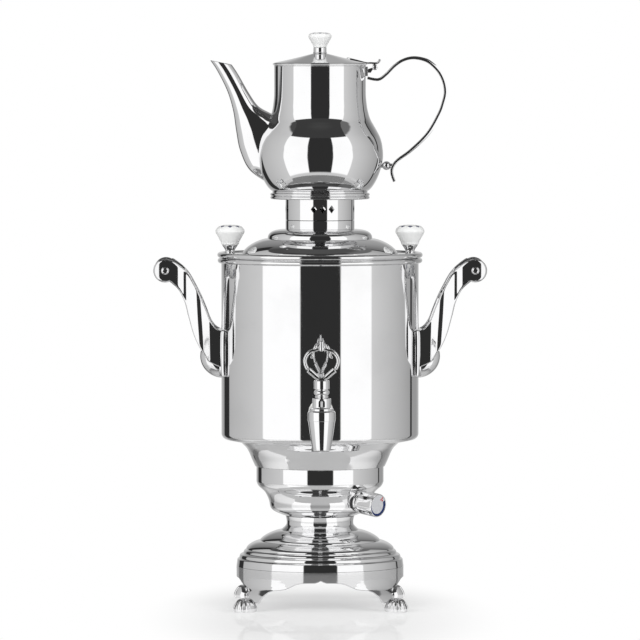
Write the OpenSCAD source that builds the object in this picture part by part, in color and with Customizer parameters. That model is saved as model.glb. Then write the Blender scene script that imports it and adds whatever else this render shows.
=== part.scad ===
// Electric samovar: a water drum on a heater bowl and a footed base, with a front tap,
// two carrying handles, a lid with a steam collar, and a teapot that stands on the crown.
// Millimetres. +Z up, origin on the vessel's axis at the level of the table,
// the tap faces -Y. Each module is one physical piece, or a set of identical fasteners.

/* [Foot ring] */
// Height of the skirt's lower rim above the table
skirt_clear = 25; // [22:0.5:34]
// Height of the skirt from its lower rim to its seam
skirt_h = 11; // [9:0.5:18]
// Radius of the skirt at its seam
skirt_r = 75.3; // [66:0.1:86]
// How much narrower the skirt is at its lower rim
skirt_taper = 3.6; // [2:0.1:6]
// Wall of the cast foot ring
cast_wall = 2.6; // [2:0.1:4]
// Distance of a paw's centre from the vessel's axis
paw_reach = 96; // [88:0.5:106]
// Height of a paw
paw_h = 12; // [9:0.5:15]
// Width of a paw
paw_w = 15; // [12:0.5:18]
// Height of the arches' flat crown above the table
arch_crown = 28; // [26:0.5:34]
// Half width of the arches' flat crown
arch_flat = 16; // [10:0.5:22]

/* [Base and neck] */
// Height of the base dome
dome_h = 32.4; // [24:0.2:40]
// Radius of the base dome's top opening
dome_top_r = 35.5; // [33:0.1:39]
// Height of the neck between base and bowl
neck_h = 12.6; // [9:0.2:20]
// Radius of the neck at its waist
neck_r = 30.1; // [26:0.1:32]

/* [Heater bowl] */
// Radius of the bowl's foot
bowl_foot_r = 31; // [28:0.1:34]
// Height of the curved lower bowl
bowl_h = 31; // [28:0.2:38]
// Radius of the upright band
band_r = 57.3; // [53:0.1:62]
// Height of the upright band
band_h = 13.8; // [10:0.2:18]
// Height of the cove under the drum
cove_h = 22.4; // [18:0.2:28]
// Outer radius of the cove's top edge
cove_top_r = 71.8; // [67:0.1:77]

/* [Drum] */
// Outer radius of the drum
drum_r = 88.8; // [82:0.1:98]
// Height of the drum from its floor to the middle of its rim bead
drum_h = 163.1; // [140:0.5:200]
// Sheet thickness of the shells
wall = 1.2; // [0.8:0.1:1.6]
// Radius of the drum's rolled rim bead
rim_bead = 2.3; // [1.8:0.1:2.8]

/* [Lid] */
// Radius of the lid's rolled edge bead
lid_bead = 2.4; // [1.8:0.1:3]
// Height of the lid's lower dome
lid_dome_h = 13.6; // [10:0.2:20]
// Width of the lid's flat flange, from the drum's wall in to the lower dome
lid_flange_w = 18.4; // [17:0.1:24]
// Height of the lid's upper step
lid_step_h = 8.3; // [6:0.1:12]
// Radius of the lid's upper step
lid_step_r = 47.4; // [42:0.1:50]
// Distance of each lid knob's axis in from the drum's wall
lid_knob_inset = 7.8; // [6.8:0.1:9]
// Largest radius of a lid knob
lid_knob_r = 13.1; // [11:0.1:15]
// Height of a lid knob above its ferrule
lid_knob_h = 18.2; // [15:0.1:22]
// Height of a lid knob's ferrule
lid_ferrule_h = 7.6; // [5:0.1:10]

/* [Crown] */
// Outer radius of the steam collar and the crown
collar_r = 31; // [28.5:0.1:33]
// Height of the lid's own collar
lid_collar_h = 8.2; // [6:0.1:12]
// Height of the crown's collar
crown_h = 22.8; // [19:0.1:30]
// Radius of the warming plate
plate_r = 44.7; // [44:0.1:50]
// Number of vent groups round the crown
vent_groups = 4; // [2:1:6]
// Number of diamond vents in a group
vents = 3; // [1:1:4]
// Width of a diamond vent
vent_w = 5.6; // [4:0.1:7]
// Height of a diamond vent
vent_h = 7.5; // [5:0.1:9]

/* [Teapot] */
// Height of the teapot's body
pot_h = 114.8; // [100:0.5:140]
// Outer radius of the teapot's neck
pot_neck_r = 41.2; // [38:0.1:43]
// Outer radius of the teapot's belly
pot_belly_r = 56.8; // [52:0.1:62]
// Height of the belly's widest ring above the teapot's foot
pot_belly_h = 32.4; // [26:0.2:40]
// Radius of the teapot's foot
pot_foot_r = 42.8; // [40:0.1:43.4]
// Sheet thickness of the teapot
pot_wall = 1.0; // [0.8:0.1:1.4]
// Height of the teapot lid's cone
pot_lid_h = 9; // [6:0.2:14]
// Thickness of the teapot's handle strap
strap_t = 2.3; // [1.8:0.1:3]
// Width of the teapot's handle strap
strap_w = 13; // [10:0.5:16]
// How far the handle stands out from the neck
strap_reach = 71.3; // [60:0.5:80]
// Radius of the teapot's knob
pot_knob_r = 10.4; // [8:0.1:12]
// Height of the teapot's knob above its ferrule
pot_knob_h = 13.7; // [11:0.1:17]

/* [Tap] */
// Distance of the tap's axis in front of the drum
tap_reach = 60.2; // [50:0.2:70]
// Height of the tap's pipe above the drum's floor
tap_rise = 31.8; // [24:0.2:60]
// Radius of the tap's body
tap_body_r = 12.1; // [11:0.1:14]
// Radius of the tap's turning plug
plug_r = 6.5; // [5.5:0.1:7]
// Radius of the water way through the tap
water_way_r = 3; // [2:0.1:4]
// Radius of the tap's threaded pipe
shank_r = 6.2; // [5.2:0.1:7]
// Length of the nozzle below the body
nozzle_h = 26; // [20:0.2:32]
// Half width of the key's loop
key_half_w = 16.2; // [13:0.1:20]
// Height of the key's loop
key_h = 31; // [26:0.2:38]

/* [Handles] */
// Distance of the grip's axis from the drum wall
grip_reach = 50.2; // [44:0.2:58]
// Height of the grip's axis above the foot of the handle's plate
grip_rise = 88.9; // [76:0.2:100]
// Height of the plate's foot above the drum's floor
handle_z = 65.8; // [50:0.2:72]
// Distance between the outer faces of a handle's two arms
arms_w = 56; // [50:0.5:64]
// Thickness of an arm
arm_t = 5; // [4:0.1:7]
// Radius of the round end of an arm
boss_r = 10.6; // [9.5:0.1:12]
// Radius of the porcelain grip at its middle
grip_r = 9.6; // [8:0.1:10.5]
// Radius of the rod through a grip
rod_r = 2.5; // [2:0.1:3]

/* [Thermostat] */
// Direction of the thermostat's knob, counted from the front towards +X
thermo_turn = 47; // [40:1:60]
// How far the knob's axis slopes down
thermo_tilt = 7; // [0:1:9]
// Height of the knob's axis at the bowl's wall, above the bowl's foot
thermo_rise = 15.4; // [14.5:0.1:18]
// Radius of the thermostat's knob
thermo_knob_r = 10.5; // [9:0.1:12]
// Length of the thermostat's knob
thermo_knob_l = 18.5; // [14:0.2:24]

/* [Hidden] */
$fn = 72;
// Gap between a piece that lifts off and its seat
seat_gap = 0.3;
// Radial running clearance of the turning and pinned pieces
fit = 0.05;
// How far a cutting shape reaches past the piece that it cuts
over = 1;

// Heights of the stack above the table
skirt_top_z = skirt_clear + skirt_h;
dome_top_z = skirt_top_z + dome_h;
bowl_foot_z = dome_top_z + neck_h;
band_foot_z = bowl_foot_z + bowl_h;
band_top_z = band_foot_z + band_h;
floor_z = band_top_z + cove_h;
rim_z = floor_z + drum_h;
lid_edge_z = rim_z + rim_bead + seat_gap + lid_bead;
flange_top_z = lid_edge_z + lid_bead / 2;
lid_step_z = flange_top_z + lid_dome_h;
lid_top_z = lid_step_z + lid_step_h;
collar_top_z = lid_top_z + lid_collar_h;
crown_foot_z = collar_top_z + seat_gap;
plate_z = crown_foot_z + crown_h;
plate_t = 1.2;
pot_z = plate_z + plate_t + seat_gap;
pot_rim_z = pot_z + pot_h;
pot_lid_z = pot_rim_z + seat_gap;

// ---------------------------------------------------------------- outline helpers

// A point a share t of the way from a to b
function mix(a, b, t) = a + (b - a) * t;

// Smooth curve through a list of points, n steps between each two
function smooth(p, n = 4) = [
    for (i = [0 : len(p) - 2]) for (k = [0 : n - 1])
        let (t = k / n, a = p[max(i - 1, 0)], b = p[i], c = p[i + 1], d = p[min(i + 2, len(p) - 1)])
        b + (c - a) * t / 2 + (a * 2 - b * 5 + c * 4 - d) * t * t / 2
        + (b * 3 - a - c * 3 + d) * t * t * t / 2,
    p[len(p) - 1]
];

// Smooth curve from a to b whose inner points are shares of the way across and down
function formed(a, b, form, n = 3) = smooth([a, for (f = form)
    [mix(a.x, b.x, f.x), mix(a.y, b.y, f.y)], b], n);

// Bulging quarter curve from a (level) to b (upright); power 2 is an ellipse
function bulge(a, b, power = 2, n = 8) = [for (i = [0 : n]) let (t = 90 * i / n)
    [mix(a.x, b.x, pow(sin(t), 2 / power)), mix(b.y, a.y, pow(cos(t), 2 / power))]];

// Direction of the path from its point i to the next one
function way(p, i) = let (k = max(0, min(i, len(p) - 2)), d = p[k + 1] - p[k]) d / norm(d);

// The path moved t to its left, mitred at its corners and cut level or upright at its ends
function shifted(p, t) = [for (i = [0 : len(p) - 1])
    let (a = way(p, i - 1), b = way(p, i), last = len(p) - 1)
    p[i] + (i > 0 && i < last ? t * [-a.y - b.y, a.x + b.x] / (1 + a * b)
        : abs(b.y) > 0.35 ? [-t / b.y, 0] : [0, t / b.x])];

function reversed(p) = [for (i = [len(p) - 1 : -1 : 0]) p[i]];

// Closed outline of a sheet of thickness t on the left of the path
function walled(p, t) = concat(p, reversed(shifted(p, t)));

module turned(outline) rotate_extrude() polygon(outline);

module ring(r_out, r_in, z0, z1) translate([0, 0, z0]) difference() {
    cylinder(r = r_out, h = z1 - z0);
    translate([0, 0, -over]) cylinder(r = r_in, h = z1 - z0 + 2 * over);
}

module bead(r, minor, z) rotate_extrude() translate([r, z]) circle(r = minor, $fn = 32);

// Lies a shape drawn in x and z into the upright plane through the axis, w thick
module upright(w) rotate([90, 0, 0]) linear_extrude(height = w, center = true) children();

// Stands a piece on the line through the point p along -Y (z of the child points to -Y)
module along_front(p) translate(p) rotate([90, 0, 0]) children();

// ---------------------------------------------------------------- foot ring and base

leg_turns = [45, 135, 225, 315];
skirt_low_r = skirt_r - skirt_taper;
paw_front = paw_reach + paw_h * 0.7;

// Outer line of a leg, from the skirt down, out to the ankle and into the paw
leg_line = concat(formed([skirt_r - skirt_taper * 0.7, skirt_clear + skirt_h * 0.35],
    [paw_reach - paw_w * 0.35, paw_h],
    [[-0.06, 0.22], [0.02, 0.40], [0.28, 0.57], [0.60, 0.76]]), [[paw_reach - paw_w * 0.2, paw_h * 0.55]]);
leg_wide = [[38, 0], [28, 0.2], [21.4, 0.38], [13, 0.55], [4.2, 0.9], [4.2, 1.6]];

module arch_cut() upright(4 * skirt_r) polygon([
    for (s = [-1, 1]) each (s < 0 ? reversed(arch_half(-1)) : arch_half(1)),
    [3 * arch_flat, -over], [-3 * arch_flat, -over]]);

// Half of an arch: a small pointed crown, the flat, and the ogee down towards the leg
function arch_half(s) = [[0 * s, arch_crown + 2], [4.8 * s, arch_crown],
    [arch_flat * s, arch_crown], [arch_flat * 1.65 * s, arch_crown - 2.3],
    [arch_flat * 2.1 * s, arch_crown - 5.6], [arch_flat * 2.6 * s, arch_crown - 7.8],
    [arch_flat * 3 * s, arch_crown - 8.8]];

module leg() intersection() {
    turned(walled(leg_line, -cast_wall));
    rotate([0, 90, 0]) rotate([0, 0, 90]) linear_extrude(height = paw_front) polygon([
        for (s = [-1, 1]) for (f = s < 0 ? reversed(leg_wide) : leg_wide)
            [s * f.x, leg_line[0].y + over - f.y * (leg_line[0].y - paw_h + over)]]);
}

// A paw: a tapering pad with four round toes, flat underneath
module paw() translate([paw_reach, 0, 0]) intersection() {
    union() {
        cylinder(r1 = paw_w * 0.44, r2 = paw_w * 0.27, h = paw_h);
        for (a = [-54, -18, 18, 54]) rotate([0, 0, a]) translate([paw_w * 0.34, 0, paw_h * 0.24])
            sphere(r = paw_w * 0.19);
    }
    cylinder(r = 2 * paw_w, h = paw_h);
}

module foot_ring() color("silver") {
    difference() {
        turned(walled([[skirt_r, skirt_top_z], [skirt_r, skirt_top_z - 4],
            [skirt_low_r, skirt_clear]], -cast_wall));
        for (a = [0, 90]) rotate([0, 0, a]) arch_cut();
    }
    for (a = leg_turns) rotate([0, 0, a]) {
        leg();
        paw();
    }
}

// Inside plate that closes the base from below, on a ledge of the dome
cover_r = skirt_low_r - cast_wall - 4;
cover_z = skirt_top_z - 3;
cover_t = 1.5;
cover_screw_r = 1.5;
cover_screw_ring = cover_r - 5;
screw_turns = [0, 120, 240];

module bottom_cover() color("dimgray") difference() {
    ring(cover_r, tie_r + fit, cover_z - cover_t, cover_z);
    for (a = screw_turns) rotate([0, 0, a + 30]) translate([cover_screw_ring, 0, cover_z - cover_t - over])
        cylinder(r = cover_screw_r + fit, h = cover_t + 2 * over);
}

module cover_screws() color("gray") for (a = screw_turns) rotate([0, 0, a + 30])
    translate([cover_screw_ring, 0, cover_z - cover_t]) {
        translate([0, 0, -1.6]) cylinder(r = 2 * cover_screw_r, h = 1.6);
        cylinder(r = cover_screw_r, h = cover_t + 5);
    }

// Base dome: three bulging tiers, a turned-in seat on the skirt, and an inside ledge
dome_rs = [dome_top_r, mix(dome_top_r, skirt_r, 0.462), mix(dome_top_r, skirt_r, 0.776), skirt_r];
dome_zs = [dome_top_z, mix(dome_top_z, skirt_top_z, 0.284), mix(dome_top_z, skirt_top_z, 0.512),
    skirt_top_z];
dome_powers = [1.4, 1.5, 1.7];
dome_line = [for (i = [0 : 2]) each bulge([dome_rs[i], dome_zs[i]], [dome_rs[i + 1],
    dome_zs[i + 1] + (i < 2 ? 0.3 : 0)], dome_powers[i])];
gland_r = 6.5;
gland_z = skirt_top_z + 7.5;
gland_y = skirt_r - 4;
cord_hole_r = 3.7;

spigot_r = skirt_r - cast_wall - fit;

module base_dome() color("silver") difference() {
    turned(walled(concat([[tie_r + fit, dome_top_z]], dome_line, [[spigot_r, skirt_top_z],
        [spigot_r, cover_z], [cover_screw_ring - 4, cover_z]]), -wall));
    along_front([0, gland_y + 12, gland_z]) cylinder(r = gland_r + fit, h = 24);
    for (a = screw_turns) rotate([0, 0, a + 30]) translate([cover_screw_ring, 0, cover_z - over])
        cylinder(r = cover_screw_r + fit, h = 4);
}

// Bushing where the supply lead enters at the back
module cord_gland() color("black") along_front([0, gland_y + 8, gland_z]) difference() {
    union() {
        cylinder(r = gland_r, h = 20);
        cylinder(r = gland_r + 2, h = 4);
        translate([0, 0, 15]) cylinder(r = gland_r + 1.6, h = 2.5);
    }
    translate([0, 0, -over]) cylinder(r = cord_hole_r, h = 20 + 2 * over);
}

// Neck: a waisted tube between the dome and the bowl
module neck_collar() color("silver") turned(walled(concat(
    [[tie_r + fit, bowl_foot_z]],
    smooth([[bowl_foot_r, bowl_foot_z], [neck_r, mix(bowl_foot_z, dome_top_z, 0.3)],
        [neck_r, mix(bowl_foot_z, dome_top_z, 0.57)],
        [mix(neck_r, dome_top_r, 0.4), mix(bowl_foot_z, dome_top_z, 0.82)],
        [dome_top_r - 0.5, dome_top_z]], 3)), -wall));

// Hollow threaded tube that ties base, neck and bowl together and carries the supply lead
tie_r = 5.5;
tie_bore = 4.2;
tie_nut_r = 9.5;
tie_nut_h = 5;

module tie_tube() color("gold") ring(tie_r, tie_bore, cover_z - 6, bowl_foot_z + wall + tie_nut_h + 4);

module tie_nuts() color("silver") for (z = [cover_z - cover_t - tie_nut_h, bowl_foot_z + wall])
    translate([0, 0, z]) difference() {
        cylinder(r = tie_nut_r, h = tie_nut_h, $fn = 6);
        translate([0, 0, -over]) cylinder(r = tie_r + fit, h = tie_nut_h + 2 * over);
    }

// ---------------------------------------------------------------- heater bowl

bowl_form = [[0.072, 0.129], [0.285, 0.303], [0.422, 0.535], [0.49, 0.768], [0.658, 0.884]];
bowl_line = concat([[band_r, band_top_z]],
    formed([band_r, band_foot_z], [bowl_foot_r, bowl_foot_z], bowl_form));

module heater_bowl() color("silver") difference() {
    turned(walled(concat([[band_r - 6, band_top_z]], bowl_line, [[tie_r + fit, bowl_foot_z]]), -wall));
    on_thermostat() cylinder(r = bezel_r + fit, h = 2 * band_r);
}

module cove_ring() color("silver") turned(walled(concat(
    [[cove_top_r - 8, floor_z]],
    formed([cove_top_r, floor_z], [band_r + 1.4, band_top_z],
        [[0.17, 0.10], [0.41, 0.25], [0.60, 0.45], [0.80, 0.74]]),
    [[band_r - 7, band_top_z]]), -wall));

// Thermostat: the frame of its axis starts inside the bowl, z points outwards
bush_r = 3.6;
bezel_r = thermo_knob_r - 1.5;
shaft_r = 2.4;
thermo_wall_r = band_r - 0.43 * (band_r - bowl_foot_r);
thermo_knob_start = thermo_wall_r + 7;
thermo_body_r = 9;
thermo_body_l = 16;
thermo_body_end = thermo_wall_r - 5.5;

module on_thermostat() rotate([0, 0, thermo_turn - 90])
    translate([0, 0, bowl_foot_z + thermo_rise + thermo_wall_r * tan(thermo_tilt)])
        rotate([0, 90 + thermo_tilt, 0]) children();

module thermostat_body() color("whitesmoke") on_thermostat() difference() {
    union() {
        translate([0, 0, thermo_body_end - thermo_body_l]) cylinder(r = thermo_body_r, h = thermo_body_l);
        translate([0, 0, thermo_body_end]) cylinder(r = bush_r, h = 8);
        for (s = [-1, 1]) translate([-1, s * 5 - 1.5, thermo_body_end - thermo_body_l - 4]) cube([2, 3, 4]);
    }
    translate([0, 0, thermo_body_end - 8]) cylinder(r = shaft_r + fit, h = 20);
}

// Black bush through the bowl's wall, behind the knob
module thermostat_bezel() color("black") on_thermostat() translate([0, 0, thermo_body_end]) difference() {
    cylinder(r = bezel_r, h = thermo_knob_start - seat_gap - thermo_body_end);
    translate([0, 0, -over]) cylinder(r = bush_r + fit, h = 2 * thermo_knob_start);
}

module thermostat_shaft() color("gray") on_thermostat() translate([0, 0, thermo_body_end - 7.5])
    cylinder(r = shaft_r, h = thermo_knob_start - thermo_body_end + 7.5 + thermo_knob_l - 5);

module thermostat_knob() color("silver") on_thermostat() translate([0, 0, thermo_knob_start]) difference() {
    union() {
        cylinder(r = thermo_knob_r - 0.6, h = thermo_knob_l - 1);
        translate([0, 0, 0.8]) cylinder(r = thermo_knob_r, h = thermo_knob_l - 2.6);
    }
    translate([0, 0, -over]) cylinder(r = shaft_r, h = thermo_knob_l - 5 + over);
    translate([0, 0, -over]) cylinder(r = bush_r + 1, h = 4 + over);
    translate([0, 0, thermo_knob_l - 2]) cylinder(r = thermo_knob_r - 1.6, h = 4);
}

module thermostat_dial() color("lightgray") on_thermostat()
    translate([0, 0, thermo_knob_start + thermo_knob_l - 2]) cylinder(r = thermo_knob_r - 1.65, h = 0.8);

// Terminal block on the bowl's floor, behind the tie tube
block_y = 17;

module terminal_block() color("beige") translate([-11, block_y - 4.5, bowl_foot_z + wall]) difference() {
    cube([22, 9, 10]);
    for (x = [4, 11, 18]) translate([x, 4.5, 4]) cylinder(r = 2, h = 10);
}

// Insulated leads from the terminal block up to the heater's two terminals
lead_r = 1.2;
lead_x = 7;

module heater_leads() color("white") for (s = [-1, 1]) translate([s * lead_x, block_y, bowl_foot_z + wall + 4])
    cylinder(r = lead_r, h = element_z - element_r - 5 - (bowl_foot_z + wall + 4));

// ---------------------------------------------------------------- drum and heater

corner_r = 5.5;
drum_in_r = drum_r - wall;
corner_turn = 76;
drum_line = concat([[cove_top_r - 6, floor_z], [cove_top_r + 2, floor_z]],
    [for (a = [corner_turn : -corner_turn / 5 : 0]) [drum_r - corner_r + corner_r * cos(a),
        floor_z + corner_r + (drum_r - corner_r * 1.5 - cove_top_r) * 0.22 - corner_r * sin(a)]],
    [[drum_r, rim_z]]);

module drum_solid(r) translate([0, 0, floor_z - over]) cylinder(r = r, h = drum_h + 2 * over, $fn = 144);

module drum_shell() color("silver") difference() {
    union() {
        turned(walled(drum_line, wall));
        bead(drum_r + 1, rim_bead, rim_z);
    }
    along_front([0, 0, tap_z]) cylinder(r = shank_r + fit, h = 2 * drum_r);
    for (s = [-1, 1]) for (z = fixing_zs) translate([0, 0, z]) rotate([0, s * 90, 0])
        cylinder(r = fixing_r + fit, h = 2 * drum_r);
}

module tank_floor() color("silver") translate([0, 0, floor_z + wall])
    cylinder(r = cove_top_r + 1.5, h = 1.5);

// Aluminium spreader under the floor, with the heating element soldered below it
spreader_r = 52;
spreader_t = 4;
element_ring_r = 32;
element_r = 3.6;
spreader_z = floor_z + wall - spreader_t;
element_z = spreader_z - element_r * 0.8;

module heater_plate() color("lightsteelblue") translate([0, 0, spreader_z])
    cylinder(r = spreader_r, h = spreader_t);

module heater_element() color("dimgray") difference() {
    union() {
        bead(element_ring_r, element_r, element_z);
        for (s = [-1, 1]) translate([s * lead_x, 0, 0]) {
            translate([0, block_y, element_z - element_r - 5]) cylinder(r = 2, h = element_r + 5);
            translate([-2, block_y, element_z - 2]) cube([4, element_ring_r - block_y, 4]);
        }
    }
    translate([0, 0, spreader_z]) cylinder(r = 2 * spreader_r, h = 4 * element_r);
}

// Overheat cut-out, clipped under the middle of the spreader
module safety_cutout() color("saddlebrown") {
    translate([0, 0, spreader_z - 7]) cylinder(r = 8, h = 7);
    for (s = [-1, 1]) translate([s * 4 - 0.5, -2, spreader_z - 13]) cube([1, 4, 6]);
}

// ---------------------------------------------------------------- tap

tap_y = -(drum_r + tap_reach);
tap_z = floor_z + tap_rise;
tap_foot_z = tap_z - 4.5;
tap_top_z = tap_z + 4.5;
bonnet_flange_t = 2.5;
bonnet_h = 11;
bonnet_r = 8.2;
stem_r = 4.6;
tap_rear_l = 22;
shank_depth = 9;
washer_t = 1.5;
washer_r = 11;
lock_nut_t = 5;
key_foot_z = tap_top_z + bonnet_h + seat_gap;
key_collar_h = 16;

// The horizontal threaded pipe through the drum's wall
shank_start = tap_y + tap_rear_l - shank_depth;
shank_end = -(drum_r - wall - washer_t - lock_nut_t - 3);

module tap_shank() color("silver") along_front([0, shank_end, tap_z]) difference() {
    cylinder(r = shank_r, h = shank_end - shank_start);
    translate([0, 0, -over]) cylinder(r = water_way_r, h = shank_end - shank_start + 2 * over);
}

module tap_escutcheon() color("silver") along_front([0, -(drum_r + washer_t), tap_z]) difference() {
    union() {
        cylinder(r = washer_r, h = 3);
        cylinder(r1 = washer_r - 1, r2 = shank_r + 1.5, h = 6);
    }
    translate([0, 0, -over]) cylinder(r = shank_r + fit, h = 6 + 2 * over);
}

// Two silicone washers, one on each side of the drum's wall
module tap_gaskets() color("whitesmoke") {
    difference() {
        along_front([0, -(drum_r - 2), tap_z]) cylinder(r = washer_r, h = washer_t + 2);
        drum_solid(drum_r);
        along_front([0, 0, tap_z]) cylinder(r = shank_r + fit, h = 2 * drum_r);
    }
    difference() {
        intersection() {
            along_front([0, -(drum_in_r - washer_t), tap_z]) cylinder(r = washer_r, h = washer_t);
            drum_solid(drum_in_r);
        }
        along_front([0, 0, tap_z]) cylinder(r = shank_r + fit, h = 2 * drum_r);
    }
}

module tap_nut() color("gold") along_front([0, -(drum_in_r - washer_t - lock_nut_t), tap_z]) difference() {
    cylinder(r = washer_r - 1, h = lock_nut_t, $fn = 6);
    translate([0, 0, -over]) cylinder(r = shank_r + fit, h = lock_nut_t + 2 * over);
}

module tap_body() color("silver") difference() {
    union() {
        translate([0, tap_y, tap_foot_z]) cylinder(r = tap_body_r, h = tap_top_z - tap_foot_z);
        along_front([0, tap_y + tap_rear_l, tap_z])
            cylinder(r = shank_r + 2.2, h = tap_rear_l - tap_body_r + 1.6);
        along_front([0, tap_y + tap_rear_l, tap_z]) cylinder(r = shank_r + 3, h = 5);
    }
    translate([0, tap_y, tap_foot_z - 5]) cylinder(r = plug_r + fit, h = tap_top_z - tap_foot_z + 10);
    along_front([0, tap_y + tap_rear_l + over, tap_z]) {
        cylinder(r = shank_r + fit, h = shank_depth + over);
        cylinder(r = water_way_r, h = tap_rear_l + over);
    }
    nozzle_cone(tap_foot_z);
}

module nozzle_cone(z) translate([0, tap_y, z - nozzle_h])
    cylinder(r1 = tap_body_r - 4.3, r2 = tap_body_r - 0.3, h = nozzle_h);

// Tapering outlet, screwed on under the body
outlet_r = 5;

module tap_nozzle() color("silver") difference() {
    nozzle_cone(tap_foot_z);
    translate([0, tap_y, tap_foot_z - nozzle_h - over]) cylinder(r = outlet_r, h = nozzle_h - 2);
    translate([0, tap_y, tap_foot_z - nozzle_h]) cylinder(r = water_way_r, h = nozzle_h + over);
}

// Screwed bonnet that holds the plug down, with the stop slot at its front
module tap_bonnet() color("silver") translate([0, tap_y, tap_top_z]) difference() {
    union() {
        cylinder(r = tap_body_r - 2.1, h = bonnet_flange_t);
        cylinder(r = bonnet_r, h = bonnet_h);
    }
    translate([0, 0, -over]) cylinder(r = stem_r + fit, h = bonnet_h + 2 * over);
    translate([-2, -bonnet_r - over, bonnet_flange_t + 1.2]) cube([4, bonnet_r / 2, bonnet_h]);
}

// Turning plug: an elbow water way from the pipe's side down to the nozzle, and the stem
module tap_plug() color("gold") translate([0, tap_y, 0]) difference() {
    union() {
        translate([0, 0, tap_foot_z + seat_gap]) cylinder(r = plug_r, h = tap_top_z - tap_foot_z - 2 * seat_gap);
        translate([0, 0, tap_z]) cylinder(r = stem_r, h = key_foot_z + 10 - tap_z);
    }
    translate([0, 0, tap_foot_z - over]) cylinder(r = water_way_r, h = tap_z - tap_foot_z + over);
    translate([0, 0, tap_z]) rotate([0, 90, 0]) cylinder(r = water_way_r, h = plug_r + over);
}

// Key: two beads, a stem and an open onion loop under a three-petalled finial
loop_z = key_foot_z + key_collar_h - 1;
key_t = 4.4;
loop_out = smooth([[0, 0], [0.45, 0.12], [0.85, 0.30], [1, 0.50], [0.93, 0.67], [0.62, 0.80],
    [0.24, 0.88], [0.16, 0.96], [0.24, 1.03], [0.40, 1.11], [0.18, 1.12], [0.02, 1.30]], 4);
loop_in = smooth([[0, 0.13], [0.36, 0.23], [0.66, 0.36], [0.80, 0.51], [0.76, 0.62], [0.48, 0.72],
    [0.16, 0.78], [0, 0.83]], 4);

function half_loop(p, s) = [for (f = p) [s * f.x * key_half_w, loop_z + f.y * key_h]];

module tap_key() color("silver") translate([0, tap_y, 0]) difference() {
    union() {
        translate([0, 0, key_foot_z]) turned([[0, 0], [6.1, 0], [6.6, 1], [6.1, 2.2], [5.4, 2.6],
            [6.6, 3.8], [6.8, 5], [6.6, 6.2], [5.5, 7], [6.65, 7.6], [6.65, key_collar_h - 0.5],
            [5, key_collar_h], [0, key_collar_h]]);
        upright(key_t) difference() {
            polygon(concat(half_loop(loop_out, 1), reversed(half_loop(loop_out, -1))));
            polygon(concat(half_loop(loop_in, 1), reversed(half_loop(loop_in, -1))));
        }
    }
    translate([0, 0, key_foot_z - over]) cylinder(r = stem_r, h = 10 + over);
}

// ---------------------------------------------------------------- handles

plate_foot_z = floor_z + handle_z;
grip_z = plate_foot_z + grip_rise;
grip_x = drum_r + grip_reach;
saddle_t = 2.6;
saddle_h = grip_rise * 0.39;
arm_in = arms_w / 2 - arm_t;
fixing_r = 2.5;
fixing_l = 9;
fixing_zs = [plate_foot_z + 4, plate_foot_z + 20];
web_depth = 7.8;
web_reach = 20.5;
arm_outer = [[0.767, 0.810], [0.655, 0.684], [0.589, 0.540], [0.495, 0.358], [0.394, 0.232],
    [0.302, 0.155], [0.223, 0.082], [0.032, 0.029]];
arm_inner = [[-0.08, 0.388], [0.096, 0.422], [0.191, 0.495], [0.271, 0.612], [0.366, 0.738],
    [0.464, 0.847], [0.559, 0.946], [0.671, 1.022], [0.878, 1.091]];

function arm_edge(p) = smooth([for (f = p) [drum_r + f.x * grip_reach, plate_foot_z + f.y * grip_rise]], 3);

module handle_arm() union() {
    polygon(concat(arm_edge(arm_outer), [[drum_r * 0.9, plate_foot_z + 2]], arm_edge(arm_inner)));
    translate([grip_x, grip_z]) circle(r = boss_r);
}

// Handle on the +X side: saddle on the drum, rounded web and the two arms
module handle_bracket() color("silver") difference() {
    union() {
        for (s = [-1, 1]) translate([0, s * (arms_w - arm_t) / 2, 0]) upright(arm_t) handle_arm();
        upright(2 * arm_in + over) polygon(concat([[drum_r * 0.9, plate_foot_z - web_depth]],
            [for (a = [-90 : 10 : 0]) [drum_r + web_reach * cos(a), plate_foot_z + 12 + (12 + web_depth) * sin(a)]],
            [[drum_r + 6, plate_foot_z + saddle_h - 6], [drum_r * 0.9, plate_foot_z + saddle_h - 4]]));
        intersection() {
            translate([0, 0, plate_foot_z]) cylinder(r = drum_r + saddle_t, h = saddle_h, $fn = 144);
            translate([drum_r / 2, -arms_w / 2, 0]) cube([drum_r, arms_w, 2 * grip_z]);
        }
    }
    translate([0, 0, floor_z]) cylinder(r = drum_r + fit, h = drum_h, $fn = 144);
    translate([grip_x, 0, grip_z]) rotate([90, 0, 0]) cylinder(r = rod_r + fit, h = 2 * arms_w, center = true);
    for (z = fixing_zs) translate([0, 0, z]) rotate([0, 90, 0]) cylinder(r = fixing_r + fit, h = drum_r + fixing_l + over);
}

module handle_bracket_right() handle_bracket();
module handle_bracket_left() mirror([1, 0, 0]) handle_bracket();

// Barrel-shaped porcelain grip between the arms
grip_half = arm_in - 0.2;

module handle_grip(s) color("white") translate([s * grip_x, 0, grip_z]) rotate([90, 0, 0]) difference() {
    rotate_extrude() polygon(concat([[0, -grip_half]],
        [for (i = [-4 : 4]) [grip_r - 1.8 * pow(i / 4, 2), grip_half * i / 4]], [[0, grip_half]]));
    cylinder(r = rod_r + fit, h = 3 * grip_half, center = true);
}

module handle_grip_left() handle_grip(-1);
module handle_grip_right() handle_grip(1);

rod_half = arms_w / 2 - 2;

module handle_rods() color("gray") for (s = [-1, 1]) translate([s * grip_x, 0, grip_z])
    rotate([90, 0, 0]) cylinder(r = rod_r, h = 2 * rod_half, center = true);

// Domed cross-head screws in the rods' ends
head_r = 3.7;

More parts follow.
